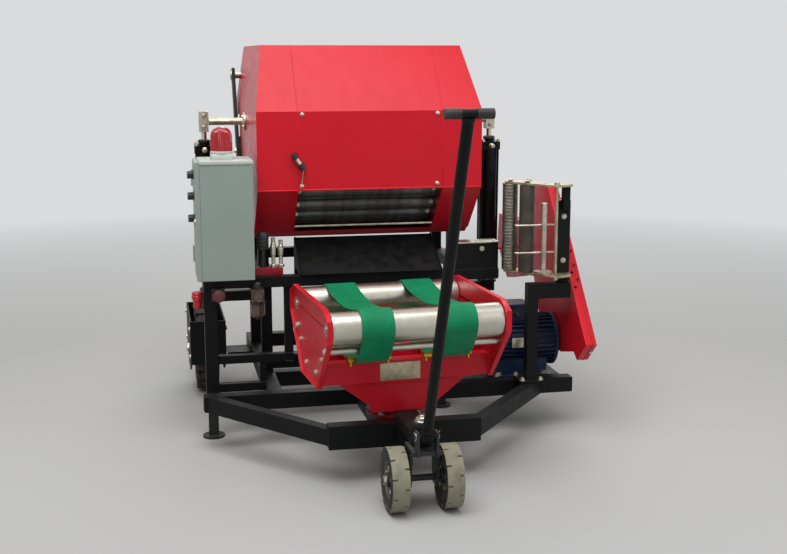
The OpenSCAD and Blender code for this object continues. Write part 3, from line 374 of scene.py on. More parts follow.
piece("supply_socket", bm, signal_red_nylon, "base")


# Main wheels: cleated rubber tyres on pressed steel rims under red enamel. The rubber is
# matt and dark, with earth left in the tread.
def rubber(name, colour, earth, share, tread=None):
    """Vulcanised rubber: dull, with earth in patches and, on a pale tread, all over the
    faces that look away from the axle."""
    material, tree, shader, place = begin(name, Specular_IOR_Level=0.35)
    cloud = add(tree, "TexNoise", {"Vector": place["Object"], "Scale": per(30), "Detail": 8}).outputs[0]
    film = add(tree, "MapRange", {0: cloud, 1: 0.42, 2: 0.68, 4: share}).outputs[0]
    body = add(tree, "Mix", {0: film, 6: colour, 7: earth}, data_type="RGBA").outputs[2]
    if tread:
        across = add(tree, "SeparateXYZ", {0: place["Normal"]}).outputs[0]
        facing = add(tree, "Math", {0: across}, operation="ABSOLUTE").outputs[0]
        outward = add(tree, "MapRange", {0: facing, 1: 0.25, 2: 0.6, 3: 1, 4: 0}).outputs[0]
        patchy = add(tree, "MapRange", {0: cloud, 1: 0.3, 2: 0.5, 3: 0.72, 4: 1}).outputs[0]
        amount = add(tree, "Math", {0: outward, 1: patchy}, operation="MULTIPLY").outputs[0]
        body = add(tree, "Mix", {0: amount, 6: body, 7: tread}, data_type="RGBA").outputs[2]
    matt = add(tree, "MapRange", {0: cloud, 1: 0.3, 2: 0.7, 3: 0.6, 4: 0.85}).outputs[0]
    grain = add(tree, "TexNoise", {"Vector": place["Object"], "Scale": per(3), "Detail": 4}).outputs[0]
    finish(tree, shader, body, matt, grain, 0.5, 0.3)
    return material


tyre_rubber = rubber("tyre_rubber", "#1C1B1A", "#6F675A", 0.4)
red_enamel = enamel("red_enamel", "#D2182A", "#C81627", "#A63039", 0.32, 0.04, Coat_Weight=0.06,
                    Specular_IOR_Level=0.22)
dress(tyre_rubber, "tyre_left", "tyre_right", edge=3)
dress(red_enamel, "rim_left", "rim_right")
dress(black_enamel, "wheel_boxes")
for side, word in ((-1, "left"), (1, "right")):
    hub = (side * 574, 700, 175)
    bm = bmesh.new()
    for face in (-1, 1):
        for r, x in ((112, 40.2), (126, 42.3), (139, 44.2)):
            turned(bm, [(r - 3, x - 1.5), (r - 1.5, x + 1.1), (r + 1.5, x + 1.6), (r + 3, x - 0.5)],
                   hub, (face, 0, 0), 64, True)
    piece("tyre_side_ribs_" + word, bm, tyre_rubber, "wheel_" + word)
    bm = bmesh.new()
    for face in (-1, 1):
        turned(bm, [(103, 33), (107.5, 36), (108, 39.5), (105, 41), (101, 38), (92.5, 36), (92.5, 33)],
               hub, (face, 0, 0), 64, True)
        turned(bm, [(86, 14.5), (80, 20), (74, 21.5), (66, 20), (40, 16), (40, 14)],
               hub, (face, 0, 0), 48, True)
    piece("rim_pressing_" + word, bm, red_enamel, "wheel_" + word)
    bm = bmesh.new()
    for face in (-1, 1):
        for k in range(5):
            a = 2 * math.pi * k / 5
            hexagon(bm, (side * 574 + face * 16, 700 + 52 * math.cos(a), 175 + 52 * math.sin(a)),
                    (face, 0, 0), 11, stud=3)
    piece("wheel_bolts_" + word, bm, zinc_plate, "wheel_" + word)
bm = bmesh.new()
for side in (-1, 1):
    turned(bm, [(22, 0), (22, 1.6), (13, 1.6), (13, 0)], (side * 645, 700, 175), (side, 0, 0), 28, True)
    turned(bm, [(19, 1.6), (19, 7.4), (17, 8.4), (12, 8.4), (12, 1.6)], (side * 645, 700, 175),
           (side, 0, 0), 6, True)
    for y in (517, 883):
        for z in (180, 292):
            hexagon(bm, (side * 645, y, z), (side, 0, 0), 9, 0.5)
            hexagon(bm, (side * 503, y, z), (-side, 0, 0), 9, 0.5)
piece("wheel_box_bolts", bm, zinc_plate, "base")

# Axles: turned bright steel bars that the wheels run on. Fine turning marks, a little
# brown from weather.
bright_steel = plated("bright_steel", "#B4B2AC", "#8B8378", 0.3, 2.0, (1, 0.2, 0.2))
dress(bright_steel, "main_axles")

# Nose wheels: two small solid rubber tyres on cast hubs. The treads are pale with dust
# and the sides stay dark.
dusty_rubber = rubber("dusty_rubber", "#242421", "#55513F", 0.5, "#8F8B78")
hub_enamel = enamel("hub_enamel", "#2A2C2F", "#222425", "#67686A", 0.5, 0.2, Specular_IOR_Level=0.35)
dress(dusty_rubber, "nose_tyres", edge=2.5)
dress(hub_enamel, "nose_hubs", "steer_fork")
bm = bmesh.new()
rings = bmesh.new()
for side in (-1, 1):
    for face in (-1, 1):
        at = (side * 84, -820, 100)
        turned(rings, [(61, 24.5), (63, 26.4), (67, 26.8), (69, 25)], at, (face, 0, 0), 48, True)
        turned(rings, [(73, 27), (74.5, 29), (76, 27)], at, (face, 0, 0), 48, True)
        for k in range(5):
            a = 2 * math.pi * k / 5 + 0.3
            hexagon(bm, (side * 84 + face * 16, -820 + 38 * math.cos(a), 100 + 38 * math.sin(a)),
                    (face, 0, 0), 8)
piece("nose_tyre_side_ribs", rings, dusty_rubber, "nose_wheels")
piece("nose_hub_bolts", bm, zinc_plate, "nose_wheels")

# Steering: a forged fork on a king pin, with a castle nut, and plated washers and pins
bm = bmesh.new()
for side in (-1, 1):
    turned(bm, [(17, 28.6), (17, 30.4), (10, 30.4), (10, 28.6)], (side * 84, -820, 100), (side, 0, 0), 24, True)
    turned(bm, [(15.5, 30.4), (15.5, 36), (13.5, 37.5), (10, 37.5), (10, 30.4)],
           (side * 84, -820, 100), (side, 0, 0), 6, True)
    turned(bm, [(13, 34.3), (13, 36.3), (8.2, 36.3), (8.2, 34.3)], (0, -882, 250), (side, 0, 0), 20, True)
    drawn(bm, [(side * 36.5, -882, 239), (side * 36.5, -882, 262), (side * 40, -882, 266)], 1.6, 8)
    hexagon(bm, (side * 22, -785, 204), Z, 9)
hexagon(bm, (0, -820, 280), Z, 22, 0.5, stud=5)
turned(bm, [(4, 0), (4, 5), (2.2, 7), (3.2, 9), (0, 11)], (35, -820, 232), X, 12)
piece("steering_fittings", bm, zinc_plate, "steering")

# Tow handle: a steel tube on a pinned eye, with a welded T bar, black enamelled, and
# moulded rubber grips pressed on the bar's ends
grip_rubber = moulded("grip_rubber", "#191919", 0.6, 1.5, 0.35)
LEANING = Matrix.Translation((0, -882, 250)) @ Matrix.Rotation(math.radians(24), 4, "X")
bm = bmesh.new()
turned(bm, [(8.2, -21), (17.5, -21), (19, -19.5), (19, 19.5), (17.5, 21), (8.2, 21)], (0, 0, 0), X, 40, True)
turned(bm, [(16, 17), (16, 1062)], (0, 0, 0), Z, 40)
turned(bm, [(12, -62), (12, 62)], (0, 0, 1070), X, 32)
tube = piece("tow_handle_tube", bm, black_enamel, "tow_handle", LEANING)
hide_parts("tow_handle")
bm = bmesh.new()
for side in (-1, 1):
    turned(bm, [(12, 20), (13.6, 21)] + [(13.8 - 0.5 * (k % 2), 23 + 3 * k) for k in range(13)]
           + [(13.8, 63), (12.4, 65), (0, 65)], (0, 0, 1070), (side, 0, 0), 32)
piece("handle_grips", bm, grip_rubber, "tow_handle", LEANING)
bm = bmesh.new()
turned(bm, [(15.5, 1048), (18, 1053), (17, 1060), (15, 1062)], (0, 0, 0), Z, 32, True)
turned(bm, [(16, 17), (19.5, 19), (18.5, 24), (16, 27)], (0, 0, 0), Z, 32, True)
block(bm, (-3, -15, 20), (3, 19, 62), 1.5)
piece("handle_collars", bm, black_enamel, "tow_handle", LEANING)

# Bale chamber: folded sheet case under red enamel round two inner side plates, which are
# a darker red and carry the rollers
dark_red_enamel = enamel("dark_red_enamel", "#86131F", "#74111B", "#63383A", 0.36, 0.08,
                         Specular_IOR_Level=0.35)
dress(red_enamel, "chamber_case", "feed_chute", edge=2.5)
dress(dark_red_enamel, "chamber_plates", "hood_plates")
bm = bmesh.new()
block(bm, (-262, 156, 743), (262, 160.5, 750), 1.2)
for side in (-1, 1):
    for y, z in ((200, 738), (330, 718), (540, 718), (690, 802)):
        hexagon(bm, (side * 410, y, z), (side, 0, 0), 8)
    for z in (940, 1020, 1095):
        hexagon(bm, (side * 283, 760 - (z - 825) * 15 / 475, z), Y, 8)
piece("case_lip_and_bolts", bm, zinc_plate, "base")
bm = bmesh.new()
for side in (-1, 1):
    x = side * 305
    drawn(bm, [(x, 758, 1110), (x, 950, 1110), (x, 1088, 1036), (x, 1088, 998)], 4, 10)
drawn(bm, [(-303, 1088, 997), (303, 1088, 997)], 4, 10)
piece("chute_rolled_edges", bm, red_enamel, "base")

# Rollers of the chamber: drawn steel tube with six welded ribs that grip the grass. The
# steel is dark, polished in bands where the bale rubs and brown in the corners. A grey
# film of dried sap lies on it, so it is only partly metallic.
material, tree, shader, place = begin("roller_steel", Metallic=0.6)
cloud = add(tree, "TexNoise", {"Vector": place["Object"], "Scale": per(60), "Detail": 4}).outputs[0]
across = add(tree, "Mapping", {"Vector": place["Object"], "Scale": (1, 0.05, 0.05)}).outputs[0]
bands = add(tree, "TexNoise", {"Vector": across, "Scale": per(30), "Detail": 6}).outputs[0]
polish = add(tree, "MapRange", {0: bands, 1: 0.35, 2: 0.65}).outputs[0]
steel = add(tree, "Mix", {0: polish, 6: "#545252", 7: "#6C6B6C"}, data_type="RGBA").outputs[2]
stain = add(tree, "MapRange", {0: cloud, 1: 0.52, 2: 0.7, 4: 0.35}).outputs[0]
stained = add(tree, "Mix", {0: stain, 6: steel, 7: "#3E332A"}, data_type="RGBA").outputs[2]
matt = add(tree, "MapRange", {0: bands, 1: 0.35, 2: 0.65, 3: 0.55, 4: 0.34}).outputs[0]
finish(tree, shader, stained, matt, bands, 0.3, 0.2)
roller_steel = material
dress(roller_steel, "chamber_rollers", "hood_rollers")


def on_ring(angle, r=310.0):
    """Place on the ring of rollers round the bale, in the plane of Y and Z."""
    return 375 + r * math.cos(math.radians(angle)), 1055 + r * math.sin(math.radians(angle))


for name, body, turns in (("fixed_roller_ribs", "base", [252 + k * 360 / 28 for k in range(7)]),
                          ("hood_roller_ribs", "hood", [252 - k * 360 / 28 for k in range(1, 19)])):
    bm = bmesh.new()
    for angle in turns:
        y, z = on_ring(angle)
        for k in range(6):
            spin = math.radians(angle + 60 * k + 20)
            block(bm, (-250, -2.5, 29), (250, 2.5, 31.8), 1.0,
                  Matrix.Translation((0, y, z)) @ Matrix.Rotation(spin, 4, "X"))
    piece(name, bm, roller_steel, body)
bm = bmesh.new()
for k in (1, 2, 3):
    y, z = on_ring(252 - k * 360 / 28)
    for x in (-252, 252):
        hexagon(bm, (x, y - 29.5, z), -Y, 7.5, 0.5)
piece("roller_end_bolts", bm, zinc_plate, "hood")

# Ramp that the bale rolls down: black enamelled sheet between two cheeks, worn by bales
dress(black_enamel, "bale_ramp", edge=1.2)
bm = bmesh.new()
for side in (-1, 1):
    drawn(bm, [(side * 259, -11, 601), (side * 259, 172, 704)], 3, 8)
drawn(bm, [(-258, -12, 595), (258, -12, 595)], 4, 8)
piece("ramp_rolled_edges", bm, black_enamel, "base")

# Hood: folded and welded sheet, glossy red enamel, hung on a shaft between two arms. Its
# middle panel is screwed on, with a narrow lap on each side.
dress(red_enamel, "hood_shell", edge=3)
dress(black_enamel, "hinge_arms")
dress(zinc_plate, "hood_shaft", edge=1.2)
bm = bmesh.new()
for side in (-1, 1):
    x = side * 264
    block(bm, (x - 1.6, -0.9, 900), (x + 1.6, 1, 1174), 0.5)
    out = Vector((0, -231, 190)).normalized() * 0.5
    a, b = Vector((x, 2, 1178)) + out, Vector((x, 186, 1402)) + out
    drawn(bm, [a.lerp(b, k / 8) for k in range(9)], 1.3, 8)
    drawn(bm, [(side * 264, -0.5, 897), (side * 408, -0.5, 897)], 2.6, 10)
drawn(bm, [(-262, -0.5, 898), (262, -0.5, 898)], 3.2, 10)
piece("hood_laps_and_hem", bm, red_enamel, "hood")
bm = bmesh.new()
for x, z in ((-252, 912), (243, 913), (-248, 1165), (244, 1166)):
    turned(bm, [(8, 0), (7.6, 2.2), (5, 4.4), (2.4, 5), (2.4, 3.2), (0, 3.2)], (x, 0, z), -Y, 20)
for side in (-1, 1):
    for k in range(4):
        a = math.radians(45 + 90 * k)
        hexagon(bm, (side * 418, 460 + 26 * math.cos(a), 1120 + 26 * math.sin(a)), (side, 0, 0), 6)
    turned(bm, [(23, 1), (23, 3.2), (15.2, 3.2), (15.2, 1)], (side * 428, 880, 1290), (side, 0, 0), 30, True)
    drawn(bm, [(side * 431.8, 880, 1270), (side * 431.8, 880, 1310)], 2, 8)
piece("hood_screws", bm, zinc_plate, "hood")
bm = bmesh.new()
for side in (-1, 1):
    for y, z in ((688, 930), (717, 987)):
        hexagon(bm, (side * 428, y, z), (side, 0, 0), 12)
piece("arm_bolts", bm, zinc_plate, "base")

# Catch on the hood's front: a rubber-sleeved pull rod on two lugs, with a thin wire down
# to the lower screw
bm = bmesh.new()
A, B = Vector((-283, -15, 1026)), Vector((-246, -15, 975))
drawn(bm, [A, A.lerp(B, 0.06), A.lerp(B, 0.3)], 11, 20)
drawn(bm, [A.lerp(B, 0.66), A.lerp(B, 0.94), B], 12, 20)
for t in (0.1, 0.9):
    p = A.lerp(B, t)
    block(bm, (p.x - 8, -10, p.z - 8), (p.x + 8, 0.5, p.z + 8), 2)
piece("catch_sleeves", bm, grip_rubber, "hood")
bm = bmesh.new()
drawn(bm, [A.lerp(B, 0.2), A.lerp(B, 0.8)], 7.5, 20)
drawn(bm, [B + Vector((0, 0, -6)), (-249, -7, 955), (-252, -4, 925), (-252, -4, 914)], 1.6, 8)
piece("catch_rod", bm, zinc_plate, "hood")

# Lifting cylinders: black anodised aluminium barrels between square caps that four tie
# rods hold together. The anodising is smooth, dark and slightly bronze where it catches light.
black_anodised = plated("black_anodised", "#1D1E20", "#26272A", 0.4, 2.5, (1, 1, 0.1), 0.1)
dress(black_anodised, "cylinder_left", "cylinder_right")
dress(black_enamel, "cylinder_brackets")
chromed_rod = plated("chromed_rod", "#D2D1CC", "#BDBAB0", 0.16, 2.0, (1, 1, 0.2), 0.05)
dress(zinc_plate, "rod_left", "rod_right")
for side, word in ((-1, "left"), (1, "right")):
    STANDING = Matrix.Translation((side * 570, 470, 500)) @ Matrix.Rotation(math.radians(0.924), 4, "X")
    top = 498.08
    bm = bmesh.new()
    for dx in (-30.5, 30.5):
        for dy in (-30.5, 30.5):
            hexagon(bm, (dx, dy, top + 32), Z, 7.5, 0.9, stud=3)
            hexagon(bm, (dx, dy, 46), -Z, 7.5, 0.9)
    for z in (46 + 16, top + 16):
        hexagon(bm, (0, -37.5, z), -Y, 12, 0.5, False)
        turned(bm, [(7, 6), (7, 16), (9, 17), (9, 24), (6, 26), (0, 26)], (0, -37.5, z), -Y, 16)
    turned(bm, [(12, 0), (12, 1.5), (8.5, 3), (8.5, 0)], (14, 0, 0), X, 20, True)
    piece("tie_rod_nuts_" + word, bm, zinc_plate, "cylinder_" + word, STANDING)
    bm = bmesh.new()
    turned(bm, [(22, 44), (24, 45), (24, 50), (20, 53), (11, 54), (10.3, 44)], (0, 0, top), Z, 28, True)
    piece("rod_wiper_" + word, bm, grip_rubber, "cylinder_" + word, STANDING)
    bm = bmesh.new()
    turned(bm, [(10.05, 80), (10.3, 80), (10.3, 578), (10.05, 578)], (0, 0, 0), Z, 32, True)
    piece("chromed_rod_" + word, bm, chromed_rod, "rod_" + word, STANDING)
    bm = bmesh.new()
    for z in (598, 642):
        hexagon(bm, (0, -18, z), -Y, 8, 0.6)
    piece("eye_screws_" + word, bm, bright_steel, "rod_" + word, STANDING)

# Control cabinet: folded sheet under grey-green enamel with a fine texture, and a light
# rain cap. The door on its left side carries three turned knobs and a lock.
cabinet_enamel = enamel("cabinet_enamel", "#94A19A", "#8B9891", "#B0B9B3", 0.45, 0.06, 1.6)
cap_enamel = enamel("cap_enamel", "#BEC5BE", "#B4BBB4", "#D2D6D0", 0.4, 0.03, Specular_IOR_Level=0.35)
dress(cabinet_enamel, "control_box", "control_door", edge=2.5)
bm = bmesh.new()
block(bm, (-613.8, -62, 1006.9), (-428, 142, 1011), 1.2)
block(bm, (-613.8, -62.6, 999), (-428, -60, 1010), 1.0)
piece("cabinet_rain_cap", bm, cap_enamel, "base")
bm = bmesh.new()
for k in (0.12, 0.30, 0.49):
    z = 590.3 + 417 * (1 - k)
    turned(bm, [(17, 0), (17, 3), (13.6, 4), (13.9, 12), (13.3, 21), (11, 22.6), (0, 22.6)], (-630.3, 40, z), -X, 24)
    block(bm, (-653.4, 38, z - 12), (-640, 42, z + 12), 1)
piece("door_knobs", bm, black_polythene, "control_door")
bm = bmesh.new()
turned(bm, [(13, 0), (13, 3), (9, 4.5), (9, 6), (0, 6)], (-630.3, -38, 799), -X, 24)
block(bm, (-638, -40, 792), (-636, -36, 806), 0.6)
for z in (690, 690 + 217):
    for y in (119, 131):
        turned(bm, [(4, 0), (3.4, 1.6), (0, 2)], (-630.3, y, z), -X, 12)
piece("door_lock_and_screws", bm, zinc_plate, "control_door")
bm = bmesh.new()
for x in (-590, -550, -505, -462):
    hexagon(bm, (x, 90, 590), -Z, 16, 0.7, False)
    turned(bm, [(10, 8), (10, 20), (7, 26), (0, 26)], (x, 90, 592), -Z, 20)
piece("cable_glands", bm, black_polythene, "base")

# Inside of the cabinet: a zinc mounting plate on its right wall with two rails of moulded
# contactors, seen when the door swings open
bm = bmesh.new()
block(bm, (-437, -40, 620), (-434, 120, 978), 0.8)
for z in (905, 770):
    block(bm, (-444, -34, z - 17), (-437, 114, z + 17), 0.8)
for y in (-32, 112):
    for z in (632, 966):
        hexagon(bm, (-437, y, z), -X, 6)
piece("cabinet_mounting_plate", bm, zinc_plate, "base")
bm = bmesh.new()
for y in (-24, 26, 76):
    block(bm, (-508, y - 20, 868), (-444, y + 20, 942), 3)
    block(bm, (-520, y - 13, 888), (-508, y + 13, 922), 2)
for k in range(9):
    block(bm, (-482, -28 + 15 * k, 742), (-444, -15 + 15 * k, 798), 1.5)
    turned(bm, [(4, 0), (4, 3), (2.6, 3), (2.6, 1), (0, 1)], (-482, -21.5 + 15 * k, 770), -X, 12)
piece("contactors_and_terminals", bm, black_polythene, "base")

# Beacon: ribbed red acrylic lens on a moulded light-grey base. The acrylic is clear
# enough to show a deeper red in its ribs.
material, tree, shader, place = begin("red_acrylic", Transmission_Weight=0.35, IOR=1.49,
                                      Coat_Weight=0.5, Coat_Roughness=0.05)
cloud = add(tree, "TexNoise", {"Vector": place["Object"], "Scale": per(30), "Detail": 3}).outputs[0]
tone = add(tree, "Mix", {0: cloud, 6: "#D81E24", 7: "#A80F17"}, data_type="RGBA").outputs[2]
matt = add(tree, "MapRange", {0: cloud, 3: 0.1, 4: 0.25}).outputs[0]
finish(tree, shader, tone, matt, cloud, 0.2, 0.1)
red_acrylic = material
light_abs = moulded("light_abs", "#C9CFC9", 0.4, 2.0, 0.12, share=0.1)
bm = bmesh.new()
block(bm, (-569, 1, 1008), (-491, 79, 1030), 5)
turned(bm, [(39, 1030), (40, 1032), (40, 1038), (37, 1040)], (-530, 40, 0), Z, 40)
base = piece("beacon_base", bm, light_abs, "base")
bm = bmesh.new()
profile = [(37, 1039), (37.5, 1044), (36.5, 1095), (33, 1106), (26, 1116), (12, 1123), (0, 1125)]
turned(bm, profile, (-530, 40, 0), Z, 72)
for v in bm.verts:
    flat = Vector((v.co.x + 530, v.co.y - 40))
    if 1042 < v.co.z < 1118:
        wave = 1 + 0.035 * math.cos(36 * math.atan2(flat.y, flat.x))
        v.co.x, v.co.y = -530 + flat.x * wave, 40 + flat.y * wave
lens = piece("beacon_lens", bm, red_acrylic, "base")
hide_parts("beacon")

# Air service unit and valve on the front tube: a smoky brown bowl and body with a blank
# gauge under brown glass, and a red valve block with plated pipe fittings
smoky_polycarbonate = moulded("smoky_polycarbonate", "#4A3324", 0.22, 4.0, 0.05, "#8A7A68", 0.25,
                              Coat_Weight=0.4)
dress(smoky_polycarbonate, "filter_unit", edge=3)
bm = bmesh.new()
turned(bm, [(25, 498), (27.5, 499), (27.5, 507), (25, 508)], (-420, -26, 0), Z, 32, True)
turned(bm, [(19, 0), (19, -13), (17.5, -14.5), (16, -13), (16, 0)], (-420, -46, 528), Y, 32, True)
turned(bm, [(12, 552), (14, 553), (14, 572), (11, 576), (0, 576)], (-420, -26, 0), Z, 24)
turned(bm, [(4, 440), (6, 442), (6, 450), (0, 450)], (-420, -26, 0), Z, 16)
piece("filter_collar_and_bezel", bm, black_polythene, "base")
bm = bmesh.new()
turned(bm, [(16, 0), (16, 0.8), (0, 0.9)], (-420, -58, 528), -Y, 32)
piece("gauge_glass", bm, smoky_polycarbonate, "base")
bm = bmesh.new()
block(bm, (-434, 6, 590), (-323, 46, 620), 3)
piece("valve_block", bm, dark_red_enamel, "base")
bm = bmesh.new()
turned(bm, [(9, 618), (9, 684), (20, 686), (21, 692), (21, 742), (17, 748), (0, 748)], (-394, 26, 0), Z, 28)
for z in (700, 712, 724):
    turned(bm, [(21, z), (22.5, z + 1), (22.5, z + 5), (21, z + 6)], (-394, 26, 0), Z, 28, True)
piece("valve_coil", bm, black_polythene, "base")
bm = bmesh.new()
for x, high in ((-356, 727), (-329, 718)):
    hexagon(bm, (x, 26, 620), Z, 13, 0.8, False)
    turned(bm, [(7, 630), (7, 662), (9.5, 664), (9.5, high - 20), (7.5, high - 18), (7.5, high), (0, high)],
           (x, 26, 0), Z, 20)
    hexagon(bm, (x, 26, high - 40), Z, 12, 1.0, False)
piece("valve_fittings", bm, zinc_plate, "base")
bm = bmesh.new()
block(bm, (310, 1, 686), (482, 69, 691.5), 1.5)
for x in (326, 396, 466):
    turned(bm, [(5.5, 691), (5, 694), (2, 695), (0, 695)], (x, 20, 0), Z, 14)
turned(bm, [(6, 0), (6, 10), (9, 11), (9, 18), (0, 19)], (412, 4, 668), -Y, 16)
piece("valve_box_cover", bm, zinc_plate, "base")

# Electric motor: cast finned body under blue enamel, with a pressed fan cowl, a terminal
# box with its lid and gland, and a plated lifting eye
blue_enamel = enamel("blue_enamel", "#0E2644", "#0B1F3A", "#3F5266", 0.42, 0.15, 2.4, Specular_IOR_Level=0.35)
dress(blue_enamel, "motor", "motor_cowl", edge=1.2)
bm = bmesh.new()
block(bm, (490, -13, 441), (606, 93, 450.8), 3)
block(bm, (604, 20, 400), (612, 60, 436), 2)
turned(bm, [(101, 0), (102.5, 2), (102.5, 8), (101, 10)], (418, 40, 305), X, 64, True)
piece("terminal_box_lid", bm, blue_enamel, "base")
bm = bmesh.new()
for x in (498, 598):
    for y in (-5, 85):
        turned(bm, [(4.5, 450.8), (4, 453), (1.5, 453.6), (0, 453)], (x, y, 0), Z, 12)
for x, out in ((423, -1), (705, 1)):
    for k in range(4):
        a = math.radians(45 + 90 * k)
        hexagon(bm, (x, 40 + 86 * math.cos(a), 305 + 86 * math.sin(a)), (out, 0, 0), 5.5, 0.6)
for x in (453 + 12, 675 - 12):
    for y in (-52, 132):
        hexagon(bm, (x, y, 189), Z, 9)
turned(bm, [(9, 404), (9, 409), (6, 411), (6, 414)], (636, 40, 0), Z, 16)
ring = [(636 + 13 * math.sin(a), 40, 427 + 13 * math.cos(a)) for a in (math.pi * k / 10 for k in range(20))]
drawn(bm, ring, 4, 10, 0, True)
block(bm, (520, -61.5, 296), (580, -60, 334), 0.6)
piece("motor_fittings", bm, zinc_plate, "base")
bm = bmesh.new()
hexagon(bm, (548, -10, 418), -Y, 15, 0.6, False)
turned(bm, [(10, 8), (10, 20), (7, 27), (0, 27)], (548, -10, 418), -Y, 20)
piece("motor_gland", bm, black_polythene, "base")

# Belt guards: two narrow folded trays under red enamel, each closed with a lid whose
# joint runs round the edge, held by small plated screws
dress(red_enamel, "belt_guard", "rear_guard", edge=3)
FRONT_GUARD = [(-318, 358), (-232, 282), (-190, 306), (-60, 272), (110, 272), (200, 360), (410, 724),
               (384, 852), (135, 877)]
REAR_GUARD = [(620 + y, 570 + z) for y, z in ((-168, -100), (20, -140), (170, -10), (150, 120), (-168, 130))]


def along(corners, step):
    """Places round a closed outline, a step apart."""
    for (y0, z0), (y1, z1) in zip(corners, corners[1:] + corners[:1]):
        count = max(1, int(math.hypot(y1 - y0, z1 - z0) / step))
        for k in range(count):
            yield y0 + (y1 - y0) * k / count, z0 + (z1 - z0) * k / count


bm = bmesh.new()
for outline, x in ((FRONT_GUARD, 738), (REAR_GUARD, 735)):
    drawn(bm, [(x, y, z) for y, z in along(outline, 30)], 1.4, 8, 0, True)
piece("guard_lid_joints", bm, dark_red_enamel, "base")
bm = bmesh.new()
for (y0, z0), (y1, z1) in zip(FRONT_GUARD, FRONT_GUARD[1:]):
    out = Vector((0, z1 - z0, y0 - y1)).normalized()
    turned(bm, [(6, 0), (5.6, 2), (2.4, 3), (0, 2.6)], ((746, (y0 + y1) / 2, (z0 + z1) / 2)), out, 16)
for y, z in ((110, 810), (330, 800), (-225, 330), (60, 310), (300, 620)):
    turned(bm, [(7, 0), (6.4, 1.6), (2.6, 2.4), (0, 2)], (754, y, z), X, 16)
piece("guard_screws", bm, zinc_plate, "base")

# Film holder: a black tube post with an upright bar that carries two plates of tan
# passivated zinc. The stretching rollers turn between them.
dress(black_enamel, "film_column", edge=2.5)
tan_zinc = plated("tan_zinc", "#B9AE93", "#958B73", 0.42, 8.0)
dress(tan_zinc, "film_plates")
roller_aluminium = plated("roller_aluminium", "#8E8B80", "#77746A", 0.38, 3.0, (0.2, 0.2, 1))
dress(roller_aluminium, "film_roller_left", edge=1.2)
roller_rubber = moulded("roller_rubber", "#3A362F", 0.5, 2.5, 0.2, "#6A6050", 0.5)
dress(roller_rubber, "film_roller_right", edge=1.2)
dress(zinc_plate, "film_spindle")
bm = bmesh.new()
for k in range(26):
    z = 606 + 12 * k
    turned(bm, [(27.2, z), (28.2, z + 1.5), (28.2, z + 4.5), (27.2, z + 6)], (505, -52.3, 0), Z, 36, True)
piece("film_roller_ribs", bm, roller_aluminium, "film_roller_left")
bm = bmesh.new()
for z in (670, 770):
    drawn(bm, [(650, -152, z), (508, -152, z), (500, -149, z), (497, -143, z)], 3.6, 12)
piece("film_guide_fingers", bm, zinc_plate, "base")
bm = bmesh.new()
for x, y in ((505, -52.3), (550, -112.3)):
    turned(bm, [(12, 0), (12, 1.4), (8, 3.5), (0, 4)], (x, y, 925), Z, 20)
    turned(bm, [(12, 0), (12, 1.4), (8, 3.5), (0, 4)], (x, y, 583), -Z, 20)
for x, y in ((568, -72.3), (628, -210.3)):
    hexagon(bm, (x, y, 920), Z, 11)
    hexagon(bm, (x, y, 586), -Z, 11)
hexagon(bm, (675, -150, 858), Z, 12)
for z in (640, 800):
    hexagon(bm, (675, -160, z), -Y, 9)
piece("film_holder_nuts", bm, zinc_plate, "base")

# Wrapping table: a welded frame under red enamel that turns on a pedestal. Its rollers
# and guide rods are zinc plated, its two belts are green rough-top rubber.
dress(red_enamel, "table_frame", edge=2)
dress(dark_red_enamel, "table_pedestal")
roller_zinc = plated("roller_zinc", "#C6C3B7", "#BBB7AA", 0.3, 9.0, (1, 0.15, 0.15), 0.05, 0.08)
dress(roller_zinc, "table_roller_front", "table_roller_rear", "table_guides", edge=1.2)
material, tree, shader, place = begin("rough_top_belt", Specular_IOR_Level=0.2)
cloud = add(tree, "TexNoise", {"Vector": place["Object"], "Scale": per(80), "Detail": 5}).outputs[0]
worn = add(tree, "MapRange", {0: cloud, 1: 0.35, 2: 0.7}).outputs[0]
green = add(tree, "Mix", {0: worn, 6: "#0A8C5D", 7: "#09784F"}, data_type="RGBA").outputs[2]
pebbles = add(tree, "TexVoronoi", {"Vector": place["Object"], "Scale": per(4)}).outputs[0]
hollow = add(tree, "MapRange", {0: pebbles, 1: 0.35, 2: 0.75, 4: 0.35}).outputs[0]
belt = add(tree, "Mix", {0: hollow, 6: green, 7: "#055037"}, data_type="RGBA").outputs[2]
matt = add(tree, "MapRange", {0: cloud, 3: 0.42, 4: 0.62}).outputs[0]
finish(tree, shader, belt, matt, pebbles, 0.6, 0.35)
dress(material, "table_belts", edge=0.8)
PARKED = Matrix.Translation((0, -430, 0)) @ Matrix.Rotation(math.radians(5), 4, "Z")
bm = bmesh.new()
for side in (-1, 1):
    for y in (-215, 215):
        turned(bm, [(22, 0), (22, 1.6), (12.6, 1.6), (12.6, 0)], (side * 288, y, 540), (side, 0, 0), 28, True)
    for y, z in ((-150, 430), (150, 430), (-70, 370), (70, 370)):
        hexagon(bm, (side * 288, y, z), (side, 0, 0), 9)
    for y in (-202, 202):
        hexagon(bm, (side * 288, y, 467), (side, 0, 0), 12, 0.55)
piece("table_side_bolts", bm, zinc_plate, "table", PARKED)
bm = bmesh.new()
for side in (-1, 1):
    for y in (-95, 95):
        for dy in (-25, 25):
            bead(bm, (side * 282, y + dy, 336), (side * 282, y + dy, 402))
    for y in (-89, -81, 81, 89):
        bead(bm, (side * 110, y, 321), (side * 228, y, 333))
piece("table_weld_beads", bm, red_enamel, "table", PARKED)
yellow_zinc = plated("yellow_zinc", "#D9B64A", "#B9973A", 0.34, 4.0)
bm = bmesh.new()
for x0, x1 in ((-206, -66), (44, 206)):
    drawn(bm, [(x0, -156, 424), (x1, -156, 424)], 9, 20)
    for x in (x0 + 6, x1 - 12):
        block(bm, (x, -164, 404), (x + 5, -112, 430), 1)
